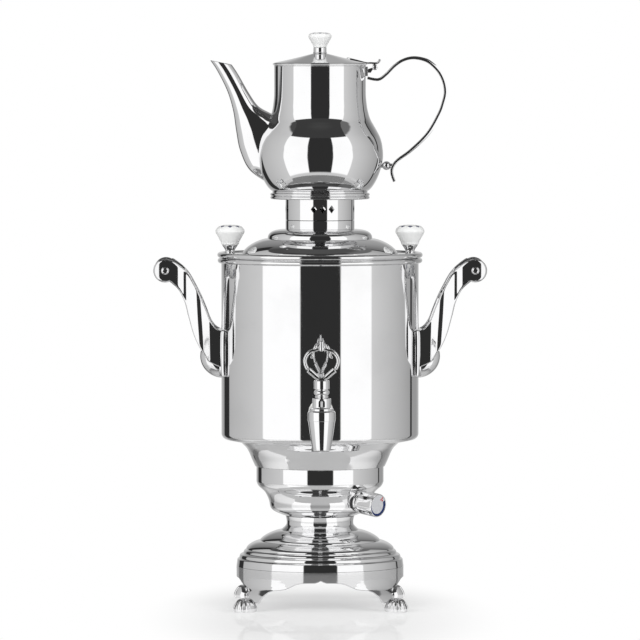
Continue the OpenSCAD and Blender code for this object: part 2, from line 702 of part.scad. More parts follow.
module handle_end_screws() color("silver") for (s = [-1, 1]) for (t = [-1, 1])
    translate([s * grip_x, t * arms_w / 2, grip_z]) rotate([-90 * t, 0, 0]) difference() {
        rotate_extrude() polygon([[0, 0], [head_r, 0], [head_r - 0.3, 0.9], [head_r - 1.5, 1.6], [0, 1.9]]);
        for (a = [0, 90]) rotate([0, 0, a]) translate([-2, -0.4, 1]) cube([4, 0.8, 2]);
    }

// Screws from inside the drum into each handle's web
module handle_fixings() color("gray") for (s = [-1, 1]) for (z = fixing_zs)
    translate([0, 0, z]) rotate([0, s * 90, 0]) {
        translate([0, 0, drum_in_r - 3.2]) cylinder(r = 2 * fixing_r, h = 3);
        translate([0, 0, drum_in_r - 1]) cylinder(r = fixing_r, h = fixing_l);
    }

// ---------------------------------------------------------------- lid and crown

spigot_h = 5;
opening_r = collar_r - 4.5;
lid_dome_r = drum_r - lid_flange_w;
lid_knob_x = drum_r - lid_knob_inset;
lid_line = concat([[drum_r + 1.2, flange_top_z], [lid_dome_r, flange_top_z]],
    reversed(bulge([lid_step_r, lid_step_z], [lid_dome_r - 0.5, flange_top_z], 1.5)),
    reversed(bulge([collar_r, lid_top_z], [lid_step_r - 0.4, lid_step_z], 2.5)),
    [[opening_r, lid_top_z]]);
knob_bore_r = 2;

module lid_dome() color("silver") difference() {
    union() {
        turned(walled(lid_line, wall));
        bead(drum_r + 1.2, lid_bead, lid_edge_z);
        ring(drum_in_r - 0.6, drum_in_r - 0.6 - wall, rim_z - 6, flange_top_z - wall / 2);
    }
    for (s = [-1, 1]) translate([s * lid_knob_x, 0, flange_top_z - 4]) cylinder(r = knob_bore_r + fit, h = 8);
}

// Steam collar on the lid, with a narrower spigot that locates the crown
module lid_collar() color("silver") {
    ring(collar_r, opening_r + wall, lid_top_z, collar_top_z);
    ring(collar_r - wall - 0.4, opening_r + wall, collar_top_z, collar_top_z + spigot_h);
}

// Turned ferrules under the lid's two knobs, with their studs
module lid_ferrules() color("silver") for (s = [-1, 1]) translate([s * lid_knob_x, 0, flange_top_z]) {
    turned([[0, 0], [4.3, 0], [4.1, 1.5], [5.2, lid_ferrule_h * 0.55], [7.2, lid_ferrule_h], [0, lid_ferrule_h]]);
    translate([0, 0, -4]) cylinder(r = knob_bore_r, h = lid_ferrule_h + 10);
    translate([0, 0, -4]) cylinder(r = 4, h = 4 - wall);
}

module lid_knob(s) color("white") translate([s * lid_knob_x, 0, flange_top_z + lid_ferrule_h]) difference() {
    turned(concat([[0, 0]], smooth([[7.5, 0], [8.3, lid_knob_h * 0.15], [10.8, lid_knob_h * 0.38],
        [lid_knob_r, lid_knob_h * 0.64], [lid_knob_r - 0.6, lid_knob_h * 0.8],
        [lid_knob_r - 3.4, lid_knob_h * 0.94], [4, lid_knob_h], [0, lid_knob_h]], 3)));
    translate([0, 0, -over]) cylinder(r = knob_bore_r + fit, h = 7.5);
}

module lid_knob_left() lid_knob(-1);
module lid_knob_right() lid_knob(1);

// Crown: collar with groups of diamond vents, standing on the lid's collar
vent_pitch = 15;
vent_z = plate_z - crown_h * 0.56;

module crown_collar() color("silver") difference() {
    ring(collar_r, collar_r - wall, crown_foot_z, plate_z);
    for (g = [0 : vent_groups - 1]) for (k = [0 : vents - 1])
        rotate([0, 0, -86 + g * 360 / vent_groups + (k - (vents - 1) / 2) * vent_pitch])
            translate([collar_r - 3 * wall, 0, vent_z]) rotate([0, 90, 0])
                linear_extrude(height = 6 * wall)
                    polygon([[-vent_h / 2, 0], [0, vent_w / 2], [vent_h / 2, 0], [0, -vent_w / 2]]);
}

plate_bead = 1.35;

module warming_plate() color("silver") {
    ring(plate_r - plate_bead, opening_r, plate_z, plate_z + plate_t);
    bead(plate_r - plate_bead, plate_bead, plate_z + plate_t - 1);
    bead(plate_r - plate_bead, plate_bead, plate_z + plate_t - 1 - 2 * plate_bead);
    ring(plate_r - plate_bead, plate_r - plate_bead - wall, plate_z + plate_t - 2 * plate_bead, plate_z + 0.2);
}

// ---------------------------------------------------------------- teapot

pot_foot_t = 1.4;
pot_base_z = pot_z + pot_foot_t;
pot_shoulder_h = pot_h - 25.4;
// Rises from the foot round the belly and along the shoulder's S to the neck
pot_line = concat([[0, pot_base_z]],
    [for (i = [0 : 8]) let (t = 90 * i / 8) [
        mix(pot_foot_r - 0.5, pot_belly_r, pow(sin(t), 2 / 1.5)),
        mix(pot_z + pot_belly_h, pot_base_z, pow(cos(t), 2 / 1.5))]],
    [for (i = [1 : 14]) let (v = i / 14, w = pow(1 - v, 1.1), u = 3 * w * w - 2 * w * w * w)
        [mix(pot_neck_r, pot_belly_r, u), mix(pot_z + pot_belly_h, pot_z + pot_shoulder_h, v)]],
    [[pot_neck_r, pot_rim_z]]);
ledge_h = 4.4;
ledge_w = 1.6;

module pot_solid() turned(concat(pot_line, [[0, pot_rim_z]]));

module teapot_body() color("silver") difference() {
    union() {
        turned(walled(pot_line, pot_wall));
        translate([0, 0, pot_z]) cylinder(r = pot_foot_r, h = pot_foot_t);
        ring(pot_neck_r - pot_wall / 2, pot_neck_r - pot_wall - ledge_w, pot_rim_z - ledge_h - 1, pot_rim_z - ledge_h);
    }
    translate([-pot_belly_r, 0, pot_z + pot_belly_h + 8]) rotate([0, 75, 0])
        cylinder(r = 7, h = 40, center = true);
}

// Spout: a hollow horn between a lower and an upper edge line, wide on the belly
// and cut slanting at its lip
spout_low = [[44, 7], [62.9, 19.8], [71.9, 37.8], [75.5, 55.8], [78.2, 73.8], [83.6, 91.8], [92.6, 109.8],
    [98.6, 118.8]];
spout_high = [[30, 40], [32, 56], [36, 66], [44.2, 71.4], [55.5, 78], [64, 89.9], [73.4, 106.3], [79.1, 114.9]];
spout_deep = [14, 14, 13.5, 12, 9.8, 8.4, 7.3, 6.8];
spout_sides = 24;
// Belly radius and body height at which the spout's and the handle's points are given
drawn_belly_r = 56.8;
drawn_pot_h = 114.8;
spout_x = pot_belly_r - drawn_belly_r;
spout_scale = pot_h / drawn_pot_h;

function spout_edge(p) = smooth([for (f = p) [-f.x - spout_x, pot_z + f.y * spout_scale]], 2);
spout_a = spout_edge(spout_low);
spout_b = spout_edge(spout_high);
spout_y = [for (f = smooth([for (i = [0 : len(spout_deep) - 1]) [i, spout_deep[i]]], 2)) f.y];

// One ring of the horn, t inside its outer surface
function spout_ring(i, t) = let (c = (spout_a[i] + spout_b[i]) / 2, h = (spout_a[i] - spout_b[i]) / 2,
    k = h * (1 - t / norm(h)))
    [for (j = [0 : spout_sides - 1]) let (w = 360 * j / spout_sides)
        [c.x + k.x * cos(w), (spout_y[i] - t) * sin(w), c.y + k.y * cos(w)]];

module horn() {
    m = len(spout_a);
    s = spout_sides;
    rings = concat([for (i = [0 : m - 1]) spout_ring(i, 0)], [for (i = [m - 1 : -1 : 0]) spout_ring(i, pot_wall)]);
    n = 2 * m;
    polyhedron(points = [for (r = rings) each r], faces = [for (i = [0 : n - 1]) for (j = [0 : s - 1])
        let (a = i * s + j, b = ((i + 1) % n) * s + j, c = ((i + 1) % n) * s + (j + 1) % s, d = i * s + (j + 1) % s)
        each [[a, c, b], [a, d, c]]]);
}

module teapot_spout() color("silver") difference() {
    horn();
    pot_solid();
}

// Handle strap: a flat bar bent from the hinge bracket round to a curl at the belly
strap_form = [[0.02, 0.838], [0.155, 0.825], [0.25, 0.864], [0.362, 0.936], [0.473, 0.983],
    [0.602, 1], [0.741, 0.983], [0.833, 0.947], [0.926, 0.882], [0.982, 0.804], [1, 0.721],
    [0.972, 0.637], [0.919, 0.546], [0.777, 0.390], [0.567, 0.255], [0.400, 0.174],
    [0.337, 0.121], [0.325, 0.068], [0.358, 0]];
strap_top = 121;
strap_low = 10.1;
// The lower half keeps its distance from the belly, the upper end from the neck
function strap_shift(y) = (pot_belly_r - drawn_belly_r) * max(0, min(1, 2 * (0.82 - y)));
strap_line = smooth([for (f = strap_form) [pot_neck_r + f.x * strap_reach + strap_shift(f.y),
    pot_z + mix(strap_low, strap_top, f.y) * pot_h / drawn_pot_h]], 2);

module strap_outline() polygon(concat(shifted(strap_line, strap_t / 2),
    reversed(shifted(strap_line, -strap_t / 2))));

module teapot_handle() color("silver") difference() {
    upright(strap_w) strap_outline();
    pot_solid();
}

// Ball stud that holds the strap off the belly
stud_z = strap_line[2 * 16].y;
stud_x = strap_line[2 * 16].x;
stud_r = 3.5;

module handle_stud() color("silver") difference() {
    union() {
        translate([mix(pot_belly_r, stud_x, 0.33), 0, stud_z]) sphere(r = stud_r);
        translate([pot_belly_r - 5, 0, stud_z]) rotate([0, 90, 0])
            cylinder(r = 2, h = stud_x - strap_t / 2 - 3 * seat_gap - pot_belly_r + 5);
    }
    pot_solid();
}

// Hinge: bracket ears on the neck, a pin, and the lid's leaf with its thumb lever
hinge_x = pot_neck_r + 8.2;
hinge_z = pot_rim_z - 2.3;
knuckle_r = 2.3;
pin_r = 0.9;
leaf_w = 6;
ear_t = 1.8;
ear_gap = 0.3;

module hinge_bracket() color("silver") difference() {
    union() {
        translate([pot_neck_r, -leaf_w / 2 - ear_gap - ear_t, hinge_z - 8])
            cube([1.8, leaf_w + 2 * (ear_gap + ear_t), 9]);
        for (s = [-1, 1]) translate([0, s * (leaf_w / 2 + ear_gap + ear_t / 2), 0]) {
            upright(ear_t) polygon([[pot_neck_r, hinge_z - 7.5], [hinge_x, hinge_z - knuckle_r],
                [hinge_x, hinge_z + knuckle_r], [pot_neck_r, hinge_z + 1]]);
            translate([hinge_x, 0, hinge_z]) rotate([90, 0, 0]) cylinder(r = knuckle_r, h = ear_t, center = true);
        }
    }
    translate([hinge_x, 0, hinge_z]) rotate([90, 0, 0]) cylinder(r = pin_r + fit, h = 4 * leaf_w, center = true);
    translate([0, 0, pot_z]) cylinder(r = pot_neck_r + 0.02, h = pot_h + 5);
}

pin_half = leaf_w / 2 + ear_gap + ear_t;

module hinge_pin() color("gray") translate([hinge_x, 0, hinge_z]) rotate([90, 0, 0])
    cylinder(r = pin_r, h = 2 * pin_half + 0.6, center = true);

// Leaf basket that hangs on the ledge inside the neck
strainer_r = 30;
strainer_h = 50;
strainer_t = 0.8;
strainer_z = pot_rim_z - ledge_h;
hole_r = 1;
hole_rows = 3;
hole_turns = 12;

module tea_strainer() color("silver") difference() {
    turned(walled([[0, strainer_z - strainer_h], [strainer_r, strainer_z - strainer_h],
        [strainer_r, strainer_z], [pot_neck_r - pot_wall - 0.3, strainer_z]], strainer_t));
    for (k = [1 : hole_rows]) for (a = [0 : hole_turns - 1])
        translate([0, 0, strainer_z - k * strainer_h / (hole_rows + 1)])
            rotate([0, 90, (a + (k % 2) / 2) * 360 / hole_turns]) translate([0, 0, strainer_r - 2])
                cylinder(r = hole_r, h = 4, $fn = 16);
}

pot_lid_r = pot_neck_r + 1.3;
pot_lid_top = pot_lid_z + 1.2 + pot_lid_h;
knob_foot_r = 5.9;

module teapot_lid() color("silver") {
    turned([[0, pot_lid_z], [pot_lid_r, pot_lid_z], [pot_lid_r, pot_lid_z + 0.9],
        [pot_lid_r - 0.6, pot_lid_z + 1.4], [5.5, pot_lid_top], [0, pot_lid_top], [0, pot_lid_top - 1],
        [5, pot_lid_top - 1], [pot_lid_r - 4, pot_lid_z + 1], [0, pot_lid_z + 1]]);
}

leaf_t = 1.5;
leaf_slope = pot_lid_h / (pot_lid_r - 5.5);
leaf_start = 24;

function on_cone(r) = pot_lid_top - (r - 5.5) * leaf_slope;

module thumb_lever() color("silver") difference() {
    union() {
        upright(leaf_w) polygon(walled([[leaf_start, on_cone(leaf_start) - 0.5], [pot_lid_r - 1, on_cone(pot_lid_r - 1) - 0.5],
            [hinge_x + 1, pot_lid_z + 0.8], [hinge_x + 3, pot_lid_z + 1.6], [hinge_x + 4.8, pot_lid_z + 4.4]], leaf_t));
        upright(leaf_w) polygon([[hinge_x - knuckle_r, hinge_z], [hinge_x + knuckle_r, hinge_z],
            [hinge_x + 1.6, pot_lid_z + 1.6], [hinge_x - 2, pot_lid_z + 1.6]]);
        translate([hinge_x, 0, hinge_z]) rotate([90, 0, 0]) cylinder(r = knuckle_r, h = leaf_w, center = true);
    }
    translate([hinge_x, 0, hinge_z]) rotate([90, 0, 0]) cylinder(r = pin_r + fit, h = 2 * leaf_w, center = true);
    turned([[0, pot_lid_z - 6], [pot_lid_r + 0.02, pot_lid_z - 6], [pot_lid_r + 0.02, pot_lid_z + 0.9],
        [pot_lid_r - 0.58, pot_lid_z + 1.42], [5.5, pot_lid_top + 0.02], [0, pot_lid_top + 0.02]]);
}

ferrule_h = 5.2;

module lid_ferrule() color("silver") translate([0, 0, pot_lid_top]) {
    turned([[0, 0], [knob_foot_r - 1, 0], [knob_foot_r, 1], [knob_foot_r - 0.6, 2.4], [knob_foot_r, 3.4],
        [knob_foot_r, ferrule_h], [0, ferrule_h]]);
    cylinder(r = 1.6, h = ferrule_h + 7);
}

module teapot_knob() color("white") translate([0, 0, pot_lid_top + ferrule_h]) difference() {
    turned(concat([[0, 0]], smooth([[knob_foot_r, 0], [knob_foot_r + 0.8, pot_knob_h * 0.2],
        [mix(knob_foot_r, pot_knob_r, 0.6), pot_knob_h * 0.44], [pot_knob_r, pot_knob_h * 0.7],
        [pot_knob_r - 1.2, pot_knob_h * 0.88], [4, pot_knob_h], [0, pot_knob_h]], 3)));
    translate([0, 0, -over]) cylinder(r = 1.6 + fit, h = 9);
}

// ---------------------------------------------------------------- the pieces, one name each

foot_ring();
bottom_cover();
cover_screws();
cord_gland();
base_dome();
neck_collar();
tie_tube();
tie_nuts();
heater_bowl();
thermostat_body();
thermostat_bezel();
terminal_block();
heater_leads();
cove_ring();
drum_shell();
tank_floor();
heater_plate();
heater_element();
safety_cutout();
tap_shank();
tap_escutcheon();
tap_gaskets();
tap_nut();
tap_body();
tap_nozzle();
tap_bonnet();
handle_bracket_left();
handle_bracket_right();
handle_grip_left();
handle_grip_right();
handle_rods();
handle_end_screws();
handle_fixings();
tap_plug();
tap_key();
thermostat_shaft();
thermostat_knob();
thermostat_dial();
lid_dome();
lid_collar();
lid_ferrules();
lid_knob_left();
lid_knob_right();
crown_collar();
warming_plate();
teapot_body();
teapot_spout();
teapot_handle();
handle_stud();
hinge_bracket();
hinge_pin();
tea_strainer();
teapot_lid();
thumb_lever();
lid_ferrule();
teapot_knob();
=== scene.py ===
# %% [markdown]
# # An electric samovar with its teapot
# The object is a stack of polished, chromed sheet metal: a footed base, a heater bowl, a water
# drum with a tap and two handles, a lid with a steam collar, a crown and a teapot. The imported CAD
# model is the frame: it says where each piece is and how it moves. Every visible sheet is made
# again here as a fine surface, because a mirror finish shows each facet of a coarse one.

# %% Frame
import math

import bpy
import numpy as np
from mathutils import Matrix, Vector


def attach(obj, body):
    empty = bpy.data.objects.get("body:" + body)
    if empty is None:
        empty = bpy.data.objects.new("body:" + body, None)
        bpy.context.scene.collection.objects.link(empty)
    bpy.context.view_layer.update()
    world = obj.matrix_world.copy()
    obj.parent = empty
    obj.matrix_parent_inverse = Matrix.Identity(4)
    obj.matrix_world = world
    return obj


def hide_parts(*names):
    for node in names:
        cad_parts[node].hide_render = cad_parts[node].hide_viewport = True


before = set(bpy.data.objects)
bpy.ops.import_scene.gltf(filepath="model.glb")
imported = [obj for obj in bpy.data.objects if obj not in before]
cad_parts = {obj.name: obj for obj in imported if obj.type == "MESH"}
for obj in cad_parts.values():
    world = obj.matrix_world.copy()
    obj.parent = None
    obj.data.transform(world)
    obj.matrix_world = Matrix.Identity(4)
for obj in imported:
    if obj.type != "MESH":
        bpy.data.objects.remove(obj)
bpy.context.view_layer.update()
scene = bpy.context.scene

# %% [markdown]
# ## Camera
# A product shot of tall metalware is taken from far away with a long lens, so that the rims stay
# nearly straight lines. The lens is at the height of the teapot's neck and looks slightly down.

# %% Camera
LENS_HEIGHT = 0.488
LENS_AWAY = 5.2
LENS_ASIDE = -0.05
AIM_HEIGHT = 0.2575
camera_data = bpy.data.cameras.new("long_lens")
camera_data.lens = 325
camera = bpy.data.objects.new("long_lens", camera_data)
camera.location = (LENS_ASIDE, -LENS_AWAY, LENS_HEIGHT)
line_of_sight = Vector((0, 0, AIM_HEIGHT)) - camera.location
camera.rotation_euler = line_of_sight.to_track_quat("-Z", "Y").to_euler()
scene.collection.objects.link(camera)
scene.camera = camera
scene.view_settings.view_transform = "Standard"
print("camera:", round(line_of_sight.length, 2), "m away")

# %% [markdown]
# ## Shader maths in Python
# A node tree is a formula drawn as boxes. Written as boxes it takes a page for one line of maths,
# so a small class wraps a socket and turns + - * / > into Math nodes. `Finish.node` makes any other
# node: its settings are set first, then its sockets get values or links.


# %% Shader maths
class Wire:
    """A number that varies over a surface. Operators on it add Math nodes to its finish."""

    def __init__(self, finish, socket):
        self.finish = finish
        self.socket = socket

    def math(self, operation, *values):
        return self.finish.node("Math", {"operation": operation}, *values).out()

    def __add__(self, other):
        return self.math("ADD", self, other)

    def __radd__(self, other):
        return self.math("ADD", other, self)

    def __sub__(self, other):
        return self.math("SUBTRACT", self, other)

    def __rsub__(self, other):
        return self.math("SUBTRACT", other, self)

    def __mul__(self, other):
        return self.math("MULTIPLY", self, other)

    def __rmul__(self, other):
        return self.math("MULTIPLY", other, self)

    def __truediv__(self, other):
        return self.math("DIVIDE", self, other)

    def __gt__(self, other):
        return self.math("GREATER_THAN", self, other)

    def __abs__(self):
        return self.math("ABSOLUTE", self)

    def __pow__(self, other):
        return self.math("POWER", self, other)

    def sine(self):
        return self.math("SINE", self)

    def fraction(self):
        return self.math("FRACT", self)

    def ramp(self, low, high):
        """0 below low, 1 above high, and an S between them (or the other way round)."""
        settings = {"interpolation_type": "SMOOTHSTEP"}
        ends = {"Value": self, "From Min": low, "From Max": high}
        return self.finish.node("MapRange", settings, **ends).out()


class Node:
    """A node that was made; out() gives one of its outputs as a Wire."""

    def __init__(self, finish, made):
        self.finish = finish
        self.made = made

    def out(self, name=0):
        return Wire(self.finish, self.made.outputs[name])


class Finish:
    """A node tree in the making: a material's or the world's."""

    def __init__(self, holder, output):
        holder.use_nodes = True
        self.holder = holder
        self.tree = holder.node_tree
        self.tree.nodes.clear()
        self.output = self.tree.nodes.new(output)

    def node(self, kind, settings=None, *values, **sockets):
        """Makes a node of that type; sockets are named with _ for a space."""
        made = self.tree.nodes.new("ShaderNode" + kind)
        for key, value in (settings or {}).items():
            setattr(made, key, value)
        for socket, value in [*enumerate(values), *sockets.items()]:
            self.set(made, socket, value)
        return Node(self, made)

    def set(self, made, socket, value):
        if isinstance(socket, str):
            wanted = socket.replace("_", " ")
            target = next(s for s in made.inputs if s.enabled and s.name.replace("_", " ") == wanted)
        else:
            target = made.inputs[socket]
        if isinstance(value, Wire):
            self.tree.links.new(value.socket, target)
        elif isinstance(value, tuple) and target.type == "RGBA" and len(value) == 3:
            target.default_value = (*value, 1)
        else:
            target.default_value = value

    def mix(self, factor, low, high):
        """Colour between low and high."""
        made = self.node("Mix", {"data_type": "RGBA"}, Factor=factor)
        colour_sockets = [s for s in made.made.inputs if s.type == "RGBA"]
        for target, value in zip(colour_sockets, (low, high)):
            if isinstance(value, Wire):
                self.tree.links.new(value.socket, target)
            else:
                target.default_value = (*value, 1)
        return Wire(self, [s for s in made.made.outputs if s.type == "RGBA"][0])

    def principled(self, colour, rough, metallic=0.0, **bump):
        """Ends the tree in a Principled shader, with a Bump node of those settings if there are any."""
        shader = self.node("BsdfPrincipled", None, Base_Color=colour, Roughness=rough, Metallic=metallic)
        if bump:
            self.set(shader.made, "Normal", self.node("Bump", None, **bump).out())
        return self.finish(shader.out())

    def finish(self, shader):
        """Links the shader to the output and returns the material or the world."""
        self.tree.links.new(shader.socket, self.output.inputs["Surface"])
        return self.holder


# %% [markdown]
# ## The studio
# Chrome has no colour of its own: it shows the room. A metalware photographer builds that room for
# it: a dark gap where the camera stands, a tall white softbox on each side of it, grey walls to the
# left and right, dark slits behind them and a white sweep at the back. The boxes end 41 degrees up,
# the walls 5 degrees higher, and above them is a dark ceiling. Here the room is the world's colour,
# worked out from the direction alone, so that every piece mirrors the same bands. `turn` counts from
# 0 at the camera to 180 at the back, to both sides. The camera itself sees plain white.

# %% Room
DARK_GAP = 23.5
BOX_LEFT, BOX_RIGHT = 71.0, 62.0
BOX_TOP, BOX_FOOT, WALL_RISE = 41.0, -38.0, 5.0
CEILING, CEILING_FROM, CEILING_TO = 0.08, 56, 66
GAP_LEVEL, BOX_LEVEL, WALL_LEVEL, GROUND_LEVEL = 0.028, 1.04, 0.62, 0.62
WALL_FADE_LEFT, WALL_FADE_MORE = 0.0026, 0.0016
HIGH_FRONT, HIGH_BACK = 0.045, 0.24
SLIT_LEFT, SLIT_RIGHT = (133.5, 151.5), (131.0, 136.0)
room = Finish(bpy.data.worlds.new("studio_room"), "ShaderNodeOutputWorld")
look = room.node("SeparateXYZ", None, room.node("TexCoord").out("Generated"))
across, depth, up = look.out("X"), look.out("Y"), look.out("Z")
turn = room.node("Math", {"operation": "ARCTAN2"}, abs(across), depth * -1).out() * (180 / math.pi)
height = room.node("Math", {"operation": "ARCSINE"}, up).out() * (180 / math.pi)
on_right = across > 0
box_end = BOX_LEFT + on_right * (BOX_RIGHT - BOX_LEFT)
in_wall = (turn - box_end).ramp(-1, 1)
slit_from = SLIT_LEFT[0] + on_right * (SLIT_RIGHT[0] - SLIT_LEFT[0])
slit_to = SLIT_LEFT[1] + on_right * (SLIT_RIGHT[1] - SLIT_LEFT[1])
in_slit = (turn - slit_from).ramp(-1, 1)
in_sweep = (turn - slit_to).ramp(-1, 1)
white = turn.ramp(DARK_GAP - 1, DARK_GAP + 1) * (1 - in_wall)
wall = in_wall * (1 - in_slit)
sweep = in_sweep * (0.3 + turn.ramp(150, 180) * 0.3)
wall_fade = (turn - BOX_RIGHT) * (WALL_FADE_LEFT + on_right * WALL_FADE_MORE)
level_room = GAP_LEVEL + white * BOX_LEVEL + wall * (WALL_LEVEL - wall_fade) + sweep
high_room = HIGH_FRONT + in_wall * (0.02 + on_right * 0.08) + turn.ramp(130, 180) * HIGH_BACK
over_box = (height - in_wall * WALL_RISE).ramp(BOX_TOP - 1.2, BOX_TOP + 1.2)
is_high = 1 - (1 - over_box) * (1 - height.ramp(8, 22) * in_sweep)
middle = level_room * (1 - is_high) + high_room * is_high
is_ceiling = height.ramp(CEILING_FROM, CEILING_TO)
above = middle * (1 - is_ceiling) + is_ceiling * CEILING
is_level = height.ramp(BOX_FOOT - 1.5, BOX_FOOT + 1.5)
room_grey = above * is_level + (1 - is_level) * GROUND_LEVEL
seen = room.node("LightPath").out("Is Camera Ray")
room_colour = room.node("CombineXYZ", None, room_grey, room_grey, room_grey).out()
shown = room.mix(seen, room_colour, (1, 1, 1))
scene.world = room.finish(room.node("Background", None, shown).out())
print("room: softboxes from", DARK_GAP, "to", BOX_LEFT, "and", BOX_RIGHT, "degrees")

# %% [markdown]
# ## Lamps
# The room lights the porcelain too little, because most of it is dark or grey. Four wide soft lamps
# fill it to a plain level: two at the front, a weak one above and one behind for the views from there.
# They are hidden from mirror rays, so the chrome doesn't show them.


# %% Lamps
def lamp(name, place, size, power):
    """A round soft lamp at place, in metres, that points at the object and isn't mirrored."""
    data = bpy.data.lights.new(name, "AREA")
    data.shape = "DISK"
    data.size = size
    data.energy = power
    made = bpy.data.objects.new(name, data)
    made.location = place
    made.rotation_euler = (Vector((0, 0, 0.25)) - made.location).to_track_quat("-Z", "Y").to_euler()
    made.visible_glossy = False
    made.visible_camera = False
    scene.collection.objects.link(made)
    print(f"{name}: {power} W")


lamp("left_fill", (-1.75, -1.95, 0.75), 1.6, 37)
lamp("right_fill", (1.85, -1.75, 0.75), 1.6, 31)
lamp("top_fill", (0, -0.55, 2.35), 1.2, 9)
lamp("back_fill", (0.3, 2.3, 1.0), 1.6, 20)

# %% [markdown]
# ## Floor
# The floor is a white sheet. To the camera it glows a little and takes the rest of its brightness from
# the lamps, so it comes out white and the object's shadow still darkens it; further out it fades to
# plain white. A thin gloss gives the faint mirror image of the feet. Mirror rays find a bright sheet
# round the foot that ends soon: beyond it they pass through to the dark room, which is why the foot of
# the drum and the tap's nozzle have a dark stripe in front.

# %% Floor
FLOOR_REACH = 1.0
FADE_FROM, FADE_TO = 0.13, 0.30
GLOW_FROM, GLOW_TO = 0.18, 0.32
CAMERA_GLOW, MIRROR_GLOW, FLOOR_GREY = 0.42, 0.8, 0.62
GLOSS, GLOSS_IN_MIRROR = 0.17, 0.45
SHEET_FROM, SHEET_TO = 0.46, 0.48
floor_mesh = bpy.data.meshes.new("floor")
round_edge = np.linspace(0, 2 * math.pi, 96, endpoint=False)
edge_points = FLOOR_REACH * np.column_stack([np.cos(round_edge), np.sin(round_edge), 0 * round_edge])
floor_mesh.from_pydata(edge_points.tolist(), [], [list(range(96))])
floor = bpy.data.objects.new("floor", floor_mesh)
scene.collection.objects.link(floor)
ground = Finish(bpy.data.materials.new("white_sweep"), "ShaderNodeOutputMaterial")
ray = ground.node("LightPath")
seen_by_camera, seen_by_mirror = ray.out("Is Camera Ray"), ray.out("Is Glossy Ray")
spot = ground.node("SeparateXYZ", None, ground.node("TexCoord").out("Object"))
x, y = spot.out("X"), spot.out("Y")
from_shadow = ((x * 1.8) ** 2 + ((y + 0.12) * 0.7) ** 2) ** 0.5
from_middle = (x * x + y * y) ** 0.5
near_glow = seen_by_mirror * (1 - from_middle.ramp(GLOW_FROM, GLOW_TO)) * MIRROR_GLOW
glow = ground.node("Emission", None, (1, 1, 1), seen_by_camera * CAMERA_GLOW + near_glow)
matte = ground.node("BsdfDiffuse", None, (FLOOR_GREY, FLOOR_GREY, FLOOR_GREY))
lit = ground.node("AddShader", None, glow.out(), matte.out())
gloss = ground.node("BsdfGlossy", None, (1, 1, 1), Roughness=0.025)
near = ground.node("MixShader", None, seen_by_mirror * GLOSS_IN_MIRROR + GLOSS, lit.out(), gloss.out())
plain_white = ground.node("Emission", None, (1, 1, 1), 1.0)
fade = from_shadow.ramp(FADE_FROM, FADE_TO) * seen_by_camera
sheet = ground.node("MixShader", None, fade, near.out(), plain_white.out())
beyond = from_middle.ramp(SHEET_FROM, SHEET_TO) * (1 - seen_by_camera)
clear = ground.node("BsdfTransparent")
ended = ground.node("MixShader", None, beyond, sheet.out(), clear.out())
floor_mesh.materials.append(ground.finish(ended.out()))
print("floor:", 2 * FLOOR_REACH, "m across")

# %% [markdown]
# ## Chrome and steel
# Polished chrome on sheet metal is a nearly perfect mirror. What gives it away as real are things
# that barely show: smears that blur it in patches, hairline scratches from the cloth that dried it,
# and the slight waviness of spun sheet. All three come from noise on the object's own coordinates.
# Brushed steel is the same metal with its scratches all one way.


# %% Metal finishes
def surface(name):
    """A new material's finish, and the object's own coordinates in it."""
    made = Finish(bpy.data.materials.new(name), "ShaderNodeOutputMaterial")
    spot = made.node("TexCoord").out("Object")
    return made, spot


def noise(made, spot, scale, detail=3.0, stretch=(1, 1, 1)):
    """Soft random values around 0.5, scale spots to the metre, stretched by the given shares."""
    placed = made.node("Mapping", None, Vector=spot, Scale=stretch).out()
    return made.node("TexNoise", None, Vector=placed, Scale=scale, Detail=detail).out(0)


def polished_chrome(name, tint, haze=0.03):
    """A mirror with smears, hairline scratches and a slight waviness."""
    made, spot = surface(name)
    smear = noise(made, spot, 22, 4).ramp(0.45, 0.72)
    hairline = noise(made, spot, 900, 2, (1, 1, 0.06)).ramp(0.66, 0.74)
    rough = haze + smear * 0.035 + hairline * 0.05
    dull = tuple(c * 0.93 for c in tint)
    colour = made.mix(smear * 0.6, tint, dull)
    return made.principled(colour, rough, 1.0, Strength=0.035, Distance=0.002, Height=noise(made, spot, 9, 1))


def brushed(name, tint, rough=0.3, stretch=(1, 1, 0.04)):
    """Metal with fine scratches along the axis that stretch makes short."""
    made, spot = surface(name)
    grain = noise(made, spot, 1500, 2, stretch)
    patch = noise(made, spot, 30, 4)
    colour = made.mix(grain * 0.5 + patch * 0.4, tuple(c * 0.8 for c in tint), tint)
    rough_here = rough + grain * 0.14 - patch * 0.05
    return made.principled(colour, rough_here, 1.0, Strength=0.15, Distance=0.0002, Height=grain)


CHROME = polished_chrome("polished_chrome", (0.93, 0.93, 0.935))
CAST_CHROME = polished_chrome("cast_chrome", (0.92, 0.92, 0.925), 0.045)
STEEL = brushed("brushed_steel", (0.66, 0.66, 0.67))
BRASS = brushed("turned_brass", (0.80, 0.62, 0.30), 0.26)
ALUMINIUM = brushed("aluminium_plate", (0.80, 0.80, 0.81), 0.35, (0.05, 1, 1))
print("metals:", CHROME.name, STEEL.name, BRASS.name, ALUMINIUM.name)

# %% [markdown]
# ## Plastics, rubber and stoneware
# The few dull pieces are the bush behind the knob, the gland at the back, the seals and the unseen
# electrical pieces. Moulded plastic has a fine even grain; fired stoneware has specks.


